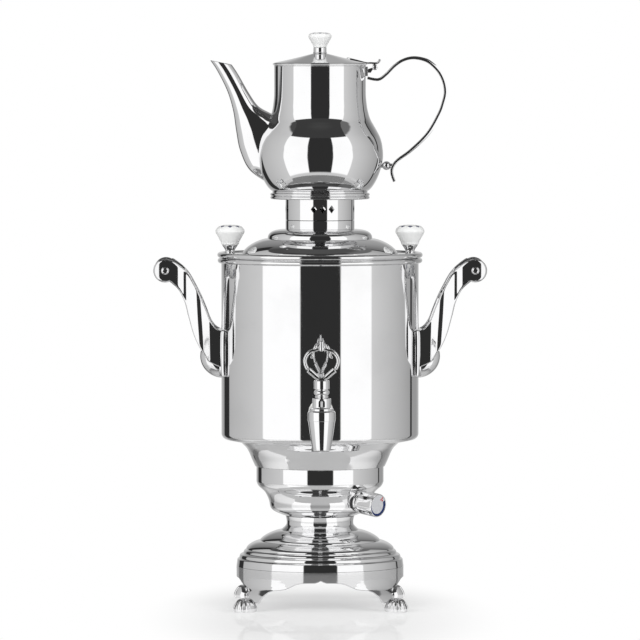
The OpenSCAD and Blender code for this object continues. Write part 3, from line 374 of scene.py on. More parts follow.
# %% Dull finishes
def moulded(name, tint, rough, grain_size=2500, specks=0.0):
    """A dull even body with a fine grain, and specks if asked for."""
    made, spot = surface(name)
    grain = noise(made, spot, grain_size, 2)
    cloud = noise(made, spot, 60, 3)
    speck = noise(made, spot, 700, 1).ramp(0.66, 0.72) * specks
    colour = made.mix(cloud * 0.5 + speck, tint, tuple(c * 0.72 for c in tint))
    return made.principled(colour, rough + cloud * 0.12, Strength=0.12, Distance=0.0001, Height=grain)


BLACK = moulded("black_plastic", (0.022, 0.022, 0.024), 0.38)
SEAL = moulded("white_silicone", (0.82, 0.82, 0.80), 0.5)
STONEWARE = moulded("steatite", (0.85, 0.82, 0.74), 0.55, 900, 0.5)
BAKELITE = moulded("brown_bakelite", (0.10, 0.07, 0.05), 0.32)
SLEEVE = moulded("silicone_sleeve", (0.86, 0.85, 0.82), 0.6)
print("dull:", BLACK.name, SEAL.name, STONEWARE.name, BAKELITE.name, SLEEVE.name)

# %% [markdown]
# ## Painted porcelain
# The knobs and grips are white glazed porcelain with small cobalt sprigs. The glaze is glass over a
# slightly uneven white body. The sprigs are painted by a formula: each piece carries an attribute
# with its own coordinates, and a petal is where a point's distance from a petal's middle line is
# less than a half sine of its distance from the flower's heart.


# %% Porcelain
GLAZE_WHITE = (0.86, 0.865, 0.86)
COBALT = (0.003, 0.005, 0.075)


def porcelain(name, paint):
    """White glaze with the cobalt mask that paint(made, x, y, z) returns, in the piece's millimetres."""
    made, spot = surface(name)
    own = made.node("SeparateXYZ", None, made.node("Attribute", {"attribute_name": "place"}).out("Vector"))
    mask = paint(made, own.out("X"), own.out("Y"), own.out("Z"))
    brush = noise(made, spot, 700, 3).ramp(0.2, 0.8) * 0.2 + 0.8
    body = made.mix(noise(made, spot, 120, 3), GLAZE_WHITE, tuple(c * 0.965 for c in GLAZE_WHITE))
    colour = made.mix(mask * brush, body, COBALT)
    rough = 0.055 + noise(made, spot, 90, 2) * 0.05
    return made.principled(colour, rough, Strength=0.03, Distance=0.0004, Height=noise(made, spot, 160, 2))


def around(made, x, y):
    """Angle round the piece's axis in turns, from 0 to 1."""
    return made.node("Math", {"operation": "ARCTAN2"}, y, x).out() / (2 * math.pi) + 0.5


def top_petals(made, x, y, z, petals=8.0):
    """Petals that lie over the knob's shoulder, one of them at the front, and a dot at its middle."""
    reach = (x * x + y * y) ** 0.5
    along = (reach - 7.5) / 3.6
    half_width = (along * math.pi).sine() * 0.28
    cell = abs((around(made, x, y) * petals + 0.5).fraction() - 0.5)
    petal = (half_width - cell).ramp(-0.02, 0.03) * along.ramp(0.0, 0.06) * (1 - along.ramp(0.97, 1.0))
    return petal * z.ramp(0.70, 0.76) + (1 - reach.ramp(1.4, 1.8)) * z.ramp(0.9, 0.95)


def grip_sprigs(made, x, y, z):
    """Five-petalled flowers in two rows round the grip, and a line at each end."""
    row = z / 11.0 + 0.5
    across_cell = ((around(made, x, y) * 4 + (row * 0.5).fraction()).fraction() - 0.5) * 12.5
    along_cell = (row.fraction() - 0.5) * 11.0
    heart = (across_cell * across_cell + along_cell * along_cell) ** 0.5
    angle = made.node("Math", {"operation": "ARCTAN2"}, along_cell, across_cell).out()
    edge = (angle * 5).sine() * 0.9 + 2.6
    flower = (edge - heart).ramp(-0.1, 0.25) * heart.ramp(0.7, 0.95)
    line = (abs(z) - 20.3).ramp(-0.1, 0.1) * (1 - (abs(z) - 21.2).ramp(-0.1, 0.1))
    return flower * (1 - (abs(z) - 17.0).ramp(-0.3, 0.3)) + line


KNOB_GLAZE = porcelain("knob_porcelain", top_petals)
GRIP_GLAZE = porcelain("grip_porcelain", grip_sprigs)
print("porcelain:", KNOB_GLAZE.name, GRIP_GLAZE.name)

# %% [markdown]
# ## Curves
# A sheet's outline is a handful of points that the eye reads as one line, so it is stored as those
# points and smoothed here. The same few rules that a drawing board has are enough: a spline through
# points, a bulging quarter curve, rounded corners, and a line moved sideways by the sheet's thickness.


# %% Curve helpers
def smooth(points, steps=8):
    """Catmull-Rom: b + (c-a)t/2 + (2a-5b+4c-d)t^2/2 + (3b-a-3c+d)t^3/2 between each two points."""
    p = np.asarray(points, float)
    i = np.arange(len(p) - 1)
    a, b, c, d = p[np.maximum(i - 1, 0)], p[i], p[i + 1], p[np.minimum(i + 2, len(p) - 1)]
    t = np.linspace(0, 1, steps, endpoint=False)[None, :, None]
    a, b, c, d = a[:, None], b[:, None], c[:, None], d[:, None]
    curve = b + (c - a) * t / 2 + (2 * a - 5 * b + 4 * c - d) * t**2 / 2
    curve = curve + (3 * b - a - 3 * c + d) * t**3 / 2
    return np.vstack([curve.reshape(-1, p.shape[1]), p[-1:]])


def formed(start, end, shares, steps=8):
    """Spline from start to end whose inner points are shares of the way across and along."""
    start, end = np.asarray(start, float), np.asarray(end, float)
    inner = start + (end - start) * np.asarray(shares, float)
    return smooth(np.vstack([start, inner, end]), steps)


def bulge(start, end, power=2.0, steps=24):
    """Superellipse quarter from start (level) to end (upright): sin and cos to the power 2/power."""
    t = np.linspace(0, math.pi / 2, steps + 1)
    x = start[0] + (end[0] - start[0]) * np.sin(t) ** (2 / power)
    z = end[1] + (start[1] - end[1]) * np.abs(np.cos(t)) ** (2 / power)
    return np.column_stack([x, z])


def arc(centre, radii, start, end, steps):
    """Part of an ellipse: centre + radii * (cos a, sin a) for a from start to end, in degrees."""
    a = np.radians(np.linspace(start, end, steps))
    return np.asarray(centre, float) + np.column_stack([np.cos(a), np.sin(a)]) * radii


def eased(points, radius=0.5, steps=5):
    """An open line with each inner corner cut back by radius and rounded with a quadratic arc."""
    p = np.asarray(points, float)
    before, corner, after = p[:-2], p[1:-1], p[2:]
    to_before, to_after = before - corner, after - corner
    length_before = np.linalg.norm(to_before, axis=1, keepdims=True)
    length_after = np.linalg.norm(to_after, axis=1, keepdims=True)
    start = corner + to_before * np.minimum(radius / length_before, 0.48)
    end = corner + to_after * np.minimum(radius / length_after, 0.48)
    t = np.linspace(0, 1, steps)[None, :, None]
    arc = start[:, None] * (1 - t) ** 2 + 2 * corner[:, None] * t * (1 - t) + end[:, None] * t**2
    return np.vstack([p[:1], arc.reshape(-1, p.shape[1]), p[-1:]])


def spaced(line, count):
    """The same line with count points at equal distances along it."""
    line = np.asarray(line, float)
    steps = np.linalg.norm(np.diff(line, axis=0), axis=1)
    along = np.concatenate([[0], np.cumsum(steps)])
    wanted = np.linspace(0, along[-1], count)
    return np.column_stack([np.interp(wanted, along, line[:, k]) for k in range(line.shape[1])])


def moved(line, distance):
    """The line moved to its left: each point by the mean normal of its two segments, mitred."""
    step = np.diff(line, axis=0)
    step = step / np.maximum(np.linalg.norm(step, axis=1, keepdims=True), 1e-9)
    a, b = np.vstack([step[:1], step]), np.vstack([step, step[-1:]])
    side = np.column_stack([-(a[:, 1] + b[:, 1]), a[:, 0] + b[:, 0]])
    return line + distance * side / np.maximum(1 + np.sum(a * b, axis=1), 0.3)[:, None]


def sheet_outline(line, thickness):
    """Closed outline of a sheet: the line, and the same line moved sideways and run back."""
    line = np.asarray(line, float)
    keep = np.concatenate([[True], np.linalg.norm(np.diff(line, axis=0), axis=1) > 1e-4])
    line = line[keep]
    return np.vstack([line, moved(line, thickness)[::-1]])


quarter_circle = arc((0, 0), 1, 0, 90, 91)
print("curves: a unit quarter circle measures", np.linalg.norm(np.diff(quarter_circle, axis=0), axis=1).sum())

# %% [markdown]
# ## Surfaces
# Every shape here is a grid of points: rows along a profile and columns round an axis or a path. A
# turned piece is a lathe, a bent bar is a rod, and a casting is a loft between closed sections.


# %% Surface helpers
def grid(points, wrap_rows=False):
    """(rows, columns, 3) points, closed round the columns, as points and quads."""
    rows, columns = points.shape[:2]
    i = np.arange(rows if wrap_rows else rows - 1)[:, None]
    j = np.arange(columns)[None, :]
    next_i, next_j = (i + 1) % rows, (j + 1) % columns
    row, next_row = i * columns, next_i * columns
    quads = np.stack([row + j, next_row + j, next_row + next_j, row + next_j], -1)
    return points.reshape(-1, 3), quads.reshape(-1, 4)


def lathe(outline, turns=180):
    """A closed outline of (radius, height) carried round the axis: (r cos a, r sin a, z)."""
    outline = np.asarray(outline, float)
    a = np.linspace(0, 2 * math.pi, turns, endpoint=False)
    r, z = outline[:, :1], outline[:, 1:]
    return grid(np.stack([r * np.cos(a), r * np.sin(a), z + 0 * a], -1), wrap_rows=True)


def ring(radius, height, minor, turns=180, sides=28):
    """A torus: a circle of radius minor carried round at that radius and height."""
    b = np.linspace(0, 2 * math.pi, sides, endpoint=False)
    return lathe(np.column_stack([radius + minor * np.cos(b), height + minor * np.sin(b)]), turns)


def loft(sections):
    """(rows, columns, 3) closed sections skinned together, each end closed at its middle."""
    first = np.broadcast_to(sections[:1].mean(1, keepdims=True), sections[:1].shape)
    last = np.broadcast_to(sections[-1:].mean(1, keepdims=True), sections[-1:].shape)
    return grid(np.concatenate([first, sections, last]))


def superellipse(columns, power):
    """Cosine and sine to the power 2/power round a full turn: 2 is round, 6 is a rounded box."""
    a = np.linspace(0, 2 * math.pi, columns, endpoint=False)
    c, s = np.cos(a), np.sin(a)
    return np.sign(c) * np.abs(c) ** (2 / power), np.sign(s) * np.abs(s) ** (2 / power)


def rod(path, in_plane, out_plane, normal=(0, 1, 0), power=2.0, columns=28, cap=0.0):
    """A section carried along a flat path: point + u * side + v * normal, shrunk over cap at both ends."""
    path = np.asarray(path, float)
    normal = np.asarray(normal, float)
    step = np.gradient(path, axis=0)
    step /= np.linalg.norm(step, axis=1, keepdims=True)
    side = np.cross(normal, step)
    along = np.concatenate([[0], np.cumsum(np.linalg.norm(np.diff(path, axis=0), axis=1))])
    left = np.minimum(along, along[-1] - along)
    shrink = np.ones(len(path)) if cap == 0 else np.sqrt(1 - (1 - np.clip(left / cap, 0.02, 1)) ** 2)
    u = np.broadcast_to(np.asarray(in_plane, float), len(path)) * shrink
    v = np.broadcast_to(np.asarray(out_plane, float), len(path)) * shrink
    c, s = superellipse(columns, power)
    to_side = (u[:, None] * c)[..., None] * side[:, None]
    return loft(path[:, None] + to_side + (v[:, None] * s)[..., None] * normal)


def prism(outline, y_from, y_to):
    """A closed flat outline of (x, z) carried along Y."""
    x, z = np.asarray(outline, float).T
    return loft(np.stack([np.column_stack([x, 0 * x + y, z]) for y in (y_from, y_to)]))


def aimed(shape, origin, direction, upward=(0, 0, 1)):
    """The shape with its own +Z laid along direction, its +Y as near upward as it goes, at origin."""
    points, quads = shape
    w = np.asarray(direction, float) / np.linalg.norm(direction)
    u = np.cross(upward, w)
    u /= np.linalg.norm(u)
    v = np.cross(w, u)
    return np.asarray(origin, float) + points @ np.stack([u, v, w]), quads


def mirrored(shape):
    """The shape on the other side of the vessel, from right to left."""
    points, quads = shape
    return points * (-1, 1, 1), quads


def shifted(shape, by):
    """The shape moved by that many millimetres in X, Y and Z."""
    return shape[0] + np.asarray(by, float), shape[1]


print("surfaces: a ring of 12 by 6 has", len(ring(2, 0, 1, 12, 6)[1]), "quads")

# %% [markdown]
# ## Pieces
# `put` welds what coincides, turns each closed shape the right way out by the sign of its volume,
# marks the creases and gives the piece its body, the CAD nodes it stands for, and its finish.
# `spun` is the short way for a chromed piece with one outline, and `carve` cuts holes and slots.


# %% Piece helpers
def welded(shape):
    """Points that coincide become one; a quad with one lost side becomes a triangle."""
    points, quads = shape
    unique, index = np.unique(np.round(points, 5), axis=0, return_inverse=True)
    quads = index.reshape(-1)[quads]
    lost = quads == np.roll(quads, -1, axis=1)
    whole = quads[lost.sum(1) == 0]
    cut = quads[lost.sum(1) == 1]
    triangles = cut[~lost[lost.sum(1) == 1]].reshape(-1, 3)
    fan = np.vstack([whole[:, [0, 1, 2]], whole[:, [0, 2, 3]], triangles])
    p, q, r = (unique[fan[:, k]] for k in range(3))
    if np.sum(p * np.cross(q, r)) < 0:
        whole, triangles = whole[:, ::-1], triangles[:, ::-1]
    return unique, whole, triangles


MM = 0.001
MADE = {}
print("millimetres are written as", MM, "m")


def put(name, shapes, body, nodes, finish=CHROME, crease=38, place=None):
    """Puts closed shapes, in millimetres, into one piece that rides on body and stands for nodes."""
    points, faces, start = [], [], 0
    for shape in shapes:
        p, quads, triangles = welded(shape)
        points.append(p)
        faces += (quads + start).tolist() + (triangles + start).tolist()
        start += len(p)
    points = np.vstack(points)
    mesh = bpy.data.meshes.new(name)
    mesh.from_pydata((points * MM).tolist(), [], faces)
    mesh.validate()
    mesh.shade_smooth()
    mesh.set_sharp_from_angle(angle=math.radians(crease))
    if place is not None:
        own = mesh.attributes.new("place", "FLOAT_VECTOR", "POINT")
        own.data.foreach_set("vector", place(points).astype(np.float32).ravel())
    mesh.materials.append(finish)
    made = bpy.data.objects.new(name, mesh)
    scene.collection.objects.link(made)
    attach(made, body)
    if nodes:
        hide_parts(*nodes)
    MADE[name] = len(faces)
    print(f"{name}: {len(faces)} faces")
    return made


def spun(name, outline, body, node, turns=180, at=(0, 0, 0)):
    """A chromed piece: one closed outline carried round the upright axis through at."""
    return put(name, [shifted(lathe(outline, turns), at)], body, [node])


def carve(made, cutters, crease=38):
    """Takes closed cutting shapes out of a piece with an exact Boolean, and keeps the result."""
    for k, shape in enumerate(cutters):
        points, quads, triangles = welded(shape)
        mesh = bpy.data.meshes.new(f"cutter_{k}")
        mesh.from_pydata((points * MM).tolist(), [], quads.tolist() + triangles.tolist())
        cutter = bpy.data.objects.new(f"cutter_{k}", mesh)
        scene.collection.objects.link(cutter)
        cut = made.modifiers.new("cut", "BOOLEAN")
        cut.operation = "DIFFERENCE"
        cut.solver = "EXACT"
        cut.object = cutter
        bpy.context.view_layer.update()
        done = bpy.data.meshes.new_from_object(made.evaluated_get(bpy.context.evaluated_depsgraph_get()))
        made.modifiers.clear()
        made.data = done
        bpy.data.objects.remove(cutter)
        bpy.data.meshes.remove(mesh)
    made.data.name = made.name
    made.data.shade_smooth()
    made.data.set_sharp_from_angle(angle=math.radians(crease))


# %% [markdown]
# ## The foot casting
# The foot is one zinc casting: a low upright skirt whose lower edge rises in four ogee arches with a
# small point at the middle, and runs down at the corners into four legs that end in paws. The skirt
# and the legs are one surface. Its lower edge is a curve of the direction, and near the direction of
# a leg its radius flares out with the depth.

# %% Foot skirt and legs
SKIRT_TOP, SKIRT_R = 36.0, 75.3
CAST = 2.6
LEG_SPREAD, LEG_BLEND = 23.0, 15.0
edge_turn = [0, 2, 4, 10.5, 14, 17.5, 20.7, 25.1, 29, 33.5, 36.6, 38.9, 40.0, 40.5, 45]
edge_height = [28.6, 27.3, 26.5, 26.3, 26.0, 24.8, 22.9, 20.4, 19.5, 19.0, 17.4, 14.1, 10.4, 7.8, 7.5]
leg_height = [7, 10, 14, 17, 19, 22, 25, 28, 31, 36]
leg_radius = [86.2, 84.8, 82.0, 79.2, 77.2, 75.9, 75.4, 75.3, 75.3, 75.3]

quarter = np.concatenate([np.linspace(0, 4, 9), np.linspace(4.6, 40, 56), np.linspace(40.4, 45, 24)])
one_side = np.concatenate([quarter, 90 - quarter[-2::-1]])[:-1]
azimuth = np.concatenate([one_side + k * 90 for k in range(4)])
from_arch = np.minimum(azimuth % 90, 90 - azimuth % 90)
edge = np.interp(from_arch, edge_turn, edge_height)
to_leg = np.clip((LEG_SPREAD - (45 - from_arch)) / LEG_BLEND, 0, 1)
leg_share = to_leg**2 * (3 - 2 * to_leg)


def foot_radius(z):
    """The skirt's radius plus the leg's flare at that height, by its share in that direction."""
    return SKIRT_R + (np.interp(z, leg_height, leg_radius) - SKIRT_R) * leg_share


down = np.linspace(0, 1, 34)[:, None]
outer_z = SKIRT_TOP + (edge[None, :] - SKIRT_TOP) * down
outer_r = foot_radius(outer_z)
rows_r = np.vstack([outer_r[:1] - 0.5, outer_r, outer_r[-1:] - CAST / 2, outer_r[::-1] - CAST])
rows_z = np.vstack([outer_z[:1], np.minimum(outer_z, SKIRT_TOP - 0.25), outer_z[-1:] - 0.7, outer_z[::-1]])
angle = np.radians(azimuth - 90)
skirt = grid(np.stack([rows_r * np.cos(angle), rows_r * np.sin(angle), rows_z], -1), wrap_rows=True)
print("skirt:", rows_r.shape[0], "rows of", rows_r.shape[1], "points")

# %% [markdown]
# ## Paws
# A paw is a rounded pad, longer to the front. Its grooves lie between the toes: each is a bell curve of
# the angle to the nearest groove, and it takes a little off the reach and off the height.

# %% Paws
PAW_REACH, PAW_LONG = 95.6, 9.8
TOE_PITCH, TOE_SPREAD, GROOVE_DEPTH, GROOVE_WIDTH = 26.0, 80.0, 2.0, 4.6
paw_side = smooth([(0.0, 12.4), (0.34, 12.2), (0.60, 10.9), (0.80, 8.4), (0.96, 5.2), (1.0, 2.8),
                   (0.95, 0.7)], 6)
paw_side = np.vstack([paw_side, [(0.86, 0.0), (0.0, 0.0)]])
paw_turn = np.linspace(-180, 180, 240, endpoint=False)
facing = np.cos(np.radians(paw_turn))
paw_reach = PAW_LONG + 1.4 * np.clip(facing, 0, 1) ** 2 + 1.6 * np.clip(-facing, 0, 1)
toe_place = (paw_turn / TOE_PITCH + 0.5) % 1
to_groove = np.minimum(toe_place, 1 - toe_place) * TOE_PITCH
groove = GROOVE_DEPTH * np.exp(-((to_groove / GROOVE_WIDTH) ** 2))
groove *= np.clip((TOE_SPREAD - np.abs(paw_turn)) / 10, 0, 1)
edge_share = np.clip(paw_side[:, :1] * 1.5 - 0.45, 0, 1)
paw_r = paw_side[:, :1] * (paw_reach - groove * edge_share)
paw_z = paw_side[:, 1:] - groove * 0.5 * edge_share * np.clip(paw_side[:, 1:] / 4, 0, 1)
toward = np.radians(paw_turn)
paw = grid(np.stack([paw_r * np.cos(toward) + PAW_REACH, paw_r * np.sin(toward), paw_z], -1))


def turned_by(shape, degrees):
    """The shape turned round the vessel's axis."""
    c, s = math.cos(math.radians(degrees)), math.sin(math.radians(degrees))
    points, quads = shape
    return points @ np.array([[c, s, 0], [-s, c, 0], [0, 0, 1]]), quads


paws = [turned_by(paw, a) for a in (45, 135, 225, 315)]
put("foot_casting", [skirt, *paws], "vessel", ["foot_ring"], CAST_CHROME, crease=30)

# %% [markdown]
# ## Base dome and neck
# The base is spun in three tiers. The upper two are superellipse quarters, which are flatter on top and
# tighter at the side than an ellipse, as spun metal is. The lowest climbs in three small steps that
# are drawn as points. A waisted neck joins the base to the bowl.

# %% Base and neck
WALL = 1.2
TIE_R = 5.55
tiers = [((35.5, 68.4), (53.9, 59.2), 1.4), ((53.9, 58.9), (66.4, 51.8), 1.5)]
low_tier = smooth([(66.4, 51.2), (68.0, 50.1), (68.7, 49.0), (69.2, 47.8), (70.4, 47.0), (71.8, 46.3),
                   (72.3, 45.4), (72.8, 43.6), (73.5, 42.9), (74.3, 42.3), (74.6, 41.5), (74.9, 38.8),
                   (75.3, 36.0)], 8)
dome_line = np.vstack([[(TIE_R, 68.4)], *[bulge(a, b, power, 26) for a, b, power in tiers], low_tier,
                       [(72.6, 36.0), (72.6, 33.0), (56, 33.0)]])
spun("base_shell", sheet_outline(dome_line, -WALL), "vessel", "base_dome", 216)
neck_line = np.vstack([[(TIE_R, 81.0)], smooth([(31.0, 81.0), (30.1, 77.2), (30.1, 73.8), (31.3, 71.9),
                                              (33.2, 70.1), (35.0, 68.5)], 8)])
spun("neck", sheet_outline(neck_line, -WALL), "vessel", "neck_collar")

# %% [markdown]
# ## Heater bowl and cove
# The bowl hides the heater: an upright band above a lower part that steps in twice before the foot.
# The cove above it is hollow-curved and carries the wide drum.

# %% Bowl and cove
bowl_shares = [(0.072, 0.129), (0.285, 0.303), (0.422, 0.535), (0.49, 0.768), (0.658, 0.884)]
bowl_line = np.vstack([[(51.3, 125.8)], eased([(56.5, 125.8), (57.3, 125.8), (57.3, 122)], 0.7)[1:],
                       [(57.3, 113)], formed((57.3, 112), (31.0, 81.2), bowl_shares, 10), [(TIE_R, 81.2)]])
spun("bowl", sheet_outline(bowl_line, -WALL), "vessel", "heater_bowl", 216)
cove_shares = [(0.17, 0.10), (0.41, 0.25), (0.60, 0.45), (0.80, 0.74)]
cove_side = formed((71.8, 148.0), (58.5, 126.0), cove_shares, 12)
cove_line = np.vstack([[(63.8, 148.2)], cove_side, [(50.3, 126.0)]])
spun("cove", sheet_outline(cove_line, -WALL), "vessel", "cove_ring", 216)

# %% [markdown]
# ## The drum
# The water drum is a plain tube whose foot turns in over a small radius, and whose top is rolled
# outwards round a wire. The tank is open inside, so its wall has both faces.

# %% Drum
DRUM_R, RIM_Z, DRUM_TURN, TURN_Z = 88.8, 311.3, 5.5, 155.62
foot_arc = arc((DRUM_R - DRUM_TURN, TURN_Z), DRUM_TURN, -76, 0, 18)
drum_wall = [(DRUM_R, 200), (DRUM_R, 250), (DRUM_R, RIM_Z - 1)]
drum_line = np.vstack([[(65.8, 148.2), (73.8, 148.2)], foot_arc, drum_wall])
put("drum", [lathe(sheet_outline(drum_line, WALL), 288), ring(DRUM_R + 1, RIM_Z, 2.3, 216)],
    "vessel", ["drum_shell"])

# %% [markdown]
# ## The lid
# The lid's flat flange ends in a second rolled rim that sits on the drum's. Inside it two bulging
# steps climb to the steam collar, over which the crown fits.

# %% Lid
FLANGE_Z, LID_STEP_Z, LID_TOP_Z = 317.5, 331.1, 339.4
lid_line = np.vstack([[(90.0, FLANGE_Z)], bulge((47.4, LID_STEP_Z), (69.9, FLANGE_Z), 1.5, 30)[::-1],
                      bulge((31.0, LID_TOP_Z), (47.0, LID_STEP_Z), 2.5, 30)[::-1], [(26.5, LID_TOP_Z)]])
inner_ring = np.array([(87.0, 305.3), (87.0, 317), (85.8, 317), (85.8, 305.3)])
put("lid_shell", [lathe(sheet_outline(lid_line, WALL), 216), ring(90.0, 316.3, 2.4, 216), lathe(inner_ring)],
    "lid", ["lid_dome"])
collar_outline = eased([(27.7, 339.4), (31.0, 339.4), (31.0, 347.5), (29.4, 347.6), (29.4, 352.6),
                        (27.7, 352.6)], 0.35)
spun("steam_collar", collar_outline, "lid", "lid_collar", 144)

# %% [markdown]
# ## The lid's knobs
# Two porcelain knobs stand on turned ferrules on the flange. They are cones with a rounded crown and
# very shallow flutes at the shoulder. Each is bored from below for its screw.

# %% Lid knobs
KNOB_X, FERRULE_H, KNOB_H = 81.0, 7.6, 18.2
knob_foot = eased([(2.05, 0.01), (7.0, 0.0), (7.9, 0.9), (8.2, 2.4)], 0.6)[1:]
knob_side = smooth([(8.3, 2.8), (10.5, 6.9), (12.8, 11.0), (13.1, 12.4), (12.5, 14.4), (9.9, 16.9),
                    (5.5, 18.0), (0, KNOB_H)], 10)
knob_line = np.vstack([[(0, 7), (2.05, 7), (2.05, 0)], knob_foot, knob_side])
ferrule_line = eased([(0, 0), (4.3, 0), (4.1, 1.6), (4.2, 3.0), (5.3, 4.9), (6.9, 7.0), (6.9, FERRULE_H),
                      (0, FERRULE_H)], 0.5)


def fluted(shape, height, flutes=10, depth=0.022):
    """Shallow flutes: the radius is lowered by depth * (1 - |cos(flutes a / 2)|), most at the shoulder."""
    points, quads = shape
    a = np.arctan2(points[:, 1], points[:, 0])
    share = np.clip(points[:, 2] / height, 0, 1)
    dip = depth * (1 - np.abs(np.cos(flutes * a / 2))) * np.exp(-(((share - 0.72) / 0.22) ** 2))
    scale = np.where(np.hypot(points[:, 0], points[:, 1]) > 3, 1 - dip, 1)
    return points * np.column_stack([scale, scale, np.ones_like(scale)]), quads


def lid_knob(name, side, node):
    """A lid knob on the left (-1) or the right (1), with its own coordinates for the paint."""
    foot = (side * KNOB_X, 0, FLANGE_Z + FERRULE_H)
    shape = shifted(fluted(lathe(knob_line, 120), KNOB_H), foot)
    put(name, [shape], "lid", [node], KNOB_GLAZE, 50, lambda p: (p - foot) / (1, 1, KNOB_H))


lid_knob("left_lid_knob", -1, "lid_knob_left")
lid_knob("right_lid_knob", 1, "lid_knob_right")
ferrules = [shifted(lathe(ferrule_line, 96), (s * KNOB_X, 0, FLANGE_Z)) for s in (-1, 1)]
put("lid_ferrule_pair", ferrules, "lid", ["lid_ferrules"])

# %% [markdown]
# ## The crown and its warming plate
# The crown is a loose collar that stands on the lid's and carries the teapot. Steam leaves through
# groups of diamond holes. The holes are real: diamond prisms are cut out of the tube with a Boolean.

# %% Crown
COLLAR_R, CROWN_FOOT, PLATE_Z = 31.0, 347.9, 370.7
VENT_Z, VENT_W, VENT_H, VENT_PITCH = 357.9, 5.6, 7.5, 15.0
FIRST_VENT = -86
crown_wall = spaced([(COLLAR_R, CROWN_FOOT), (COLLAR_R, PLATE_Z)], 20)
crown_outline = np.vstack([crown_wall, crown_wall[::-1] - (WALL, 0)])
crown = spun("crown_tube", crown_outline, "crown", "crown_collar")
diamond = np.array([(0, VENT_H / 2), (VENT_W / 2, 0), (0, -VENT_H / 2), (-VENT_W / 2, 0)])


def vent(degrees):
    """A diamond prism through the wall at that direction."""
    a = math.radians(degrees)
    out, side = np.array([math.cos(a), math.sin(a), 0]), np.array([-math.sin(a), math.cos(a), 0])
    flat = side * diamond[:, :1] + np.array([0, 0, 1]) * (VENT_Z + diamond[:, 1:])
    return loft(np.stack([flat + out * r for r in (26, 35)]))


carve(crown, [vent(FIRST_VENT + g * 90 + k * VENT_PITCH) for g in range(4) for k in (-1, 0, 1)])
plate_outline = eased([(26.5, PLATE_Z), (42.8, PLATE_Z), (43.0, 366.9), (43.6, 366.9), (43.6, 371.9),
                       (26.5, 371.9)], 0.3)
beads = [ring(43.3, height, 1.42, 180, 24) for height in (PLATE_Z, 367.95)]
put("warming_ring", [lathe(plate_outline, 180), *beads], "crown", ["warming_plate"])

# %% [markdown]
# ## The teapot's body
# The body is one spun sheet: a low belly, a shoulder that hollows as it climbs, and an upright neck.
# The belly is a superellipse. The shoulder is a spline through points that lean most, 30 degrees, at
# half height: there the sheet mirrors the dark ceiling and shows a dark bar across.

# %% Teapot body
POT_Z, POT_H, NECK_R, BELLY_R, BELLY_H = 372.2, 114.8, 41.2, 56.8, 32.4
POT_FOOT_R, POT_WALL, BELLY_POWER = 42.3, 1.0, 1.5
POT_RIM = POT_Z + POT_H
rise = np.linspace(0, math.pi / 2, 30)
belly = np.column_stack([POT_FOOT_R + (BELLY_R - POT_FOOT_R) * np.sin(rise) ** (2 / BELLY_POWER),
                         POT_Z + BELLY_H + (1.4 - BELLY_H) * np.cos(rise) ** (2 / BELLY_POWER)])
shoulder = smooth([(BELLY_R, 404.8), (56.7, 408.8), (56.3, 412.4), (55.8, 416.0), (54.9, 419.6),
                   (53.6, 423.2), (51.8, 426.8), (49.8, 430.4), (47.7, 434.0), (45.7, 437.6), (44.3, 441.2),
                   (43.3, 444.8), (42.5, 448.4), (42.0, 452.0), (41.6, 455.6), (41.3, 459.4),
                   (NECK_R, 465.0)], 5)
pot_line = np.vstack([[(0, POT_Z + 1.4)], belly, shoulder, [(NECK_R, POT_RIM - 12), (NECK_R, POT_RIM)]])
foot_disc = eased([(0, POT_Z), (42.8, POT_Z), (42.8, POT_Z + 1.4), (0, POT_Z + 1.4)], 0.4)
ledge = np.array([(38.6, 481.6), (40.6, 481.6), (40.6, 482.6), (38.6, 482.6)])
rim_bead = ring(NECK_R - 0.1, POT_RIM - 0.55, 0.55, 180, 16)
pot_shapes = [lathe(sheet_outline(pot_line, POT_WALL), 216), lathe(foot_disc), lathe(ledge), rim_bead]
pot = put("pot", pot_shapes, "teapot", ["teapot_body"])
hole_axis = (math.cos(math.radians(15)), 0, math.sin(math.radians(15)))
hole_drill = lathe([(0, -20), (7, -20), (7, 20), (0, 20)], 40)
carve(pot, [aimed(hole_drill, (-BELLY_R, 0, POT_Z + BELLY_H + 8), hole_axis)])

# %% [markdown]
# ## The spout
# A swan-neck spout is a horn that changes its section all the way: wide and flat where it leaves the
# belly, nearly round at the lip, which is cut on the slant. It is lofted between two edge lines that
# were drawn from the side, with a third list for its half width. It ends on the belly: the pot's own
# solid is taken out of it.

# %% Spout
low_edge = [(44, 7), (62.9, 19.8), (71.9, 37.8), (75.5, 55.8), (78.2, 73.8), (83.6, 91.8), (92.6, 109.8),
            (98.6, 118.8)]
high_edge = [(30, 40), (32, 56), (36, 66), (44.2, 71.4), (55.5, 78), (64, 89.9), (73.4, 106.3), (79.1, 114.9)]
half_width = [14, 14, 13.5, 12, 9.8, 8.4, 7.3, 6.8]
low_side, high_side = smooth(low_edge, 8), smooth(high_edge, 8)
widths = smooth(np.column_stack([np.arange(8), half_width]), 8)[:, 1:]


def horn(inset):
    """Rings (middle + half edge * cos, width * sin), each shrunk by inset."""
    middle, half = (low_side + high_side) / 2, (low_side - high_side) / 2
    half = half * (1 - inset / np.linalg.norm(half, axis=1, keepdims=True))
    c, s = superellipse(72, 2.05)
    x = -(middle[:, :1] + half[:, :1] * c)
    z = POT_Z + middle[:, 1:] + half[:, 1:] * c
    return np.stack([x, (widths - inset) * s, z], -1)


lip = (horn(0)[-1:] + horn(1.0)[-1:]) / 2 + (-0.25, 0, 0.35)
spout = put("spout", [grid(np.concatenate([horn(0), lip, horn(1.0)[::-1]]), wrap_rows=True)], "teapot",
            ["teapot_spout"], crease=45)
carve(spout, [lathe(np.vstack([pot_line, [(0, POT_RIM)]]), 216)], 45)

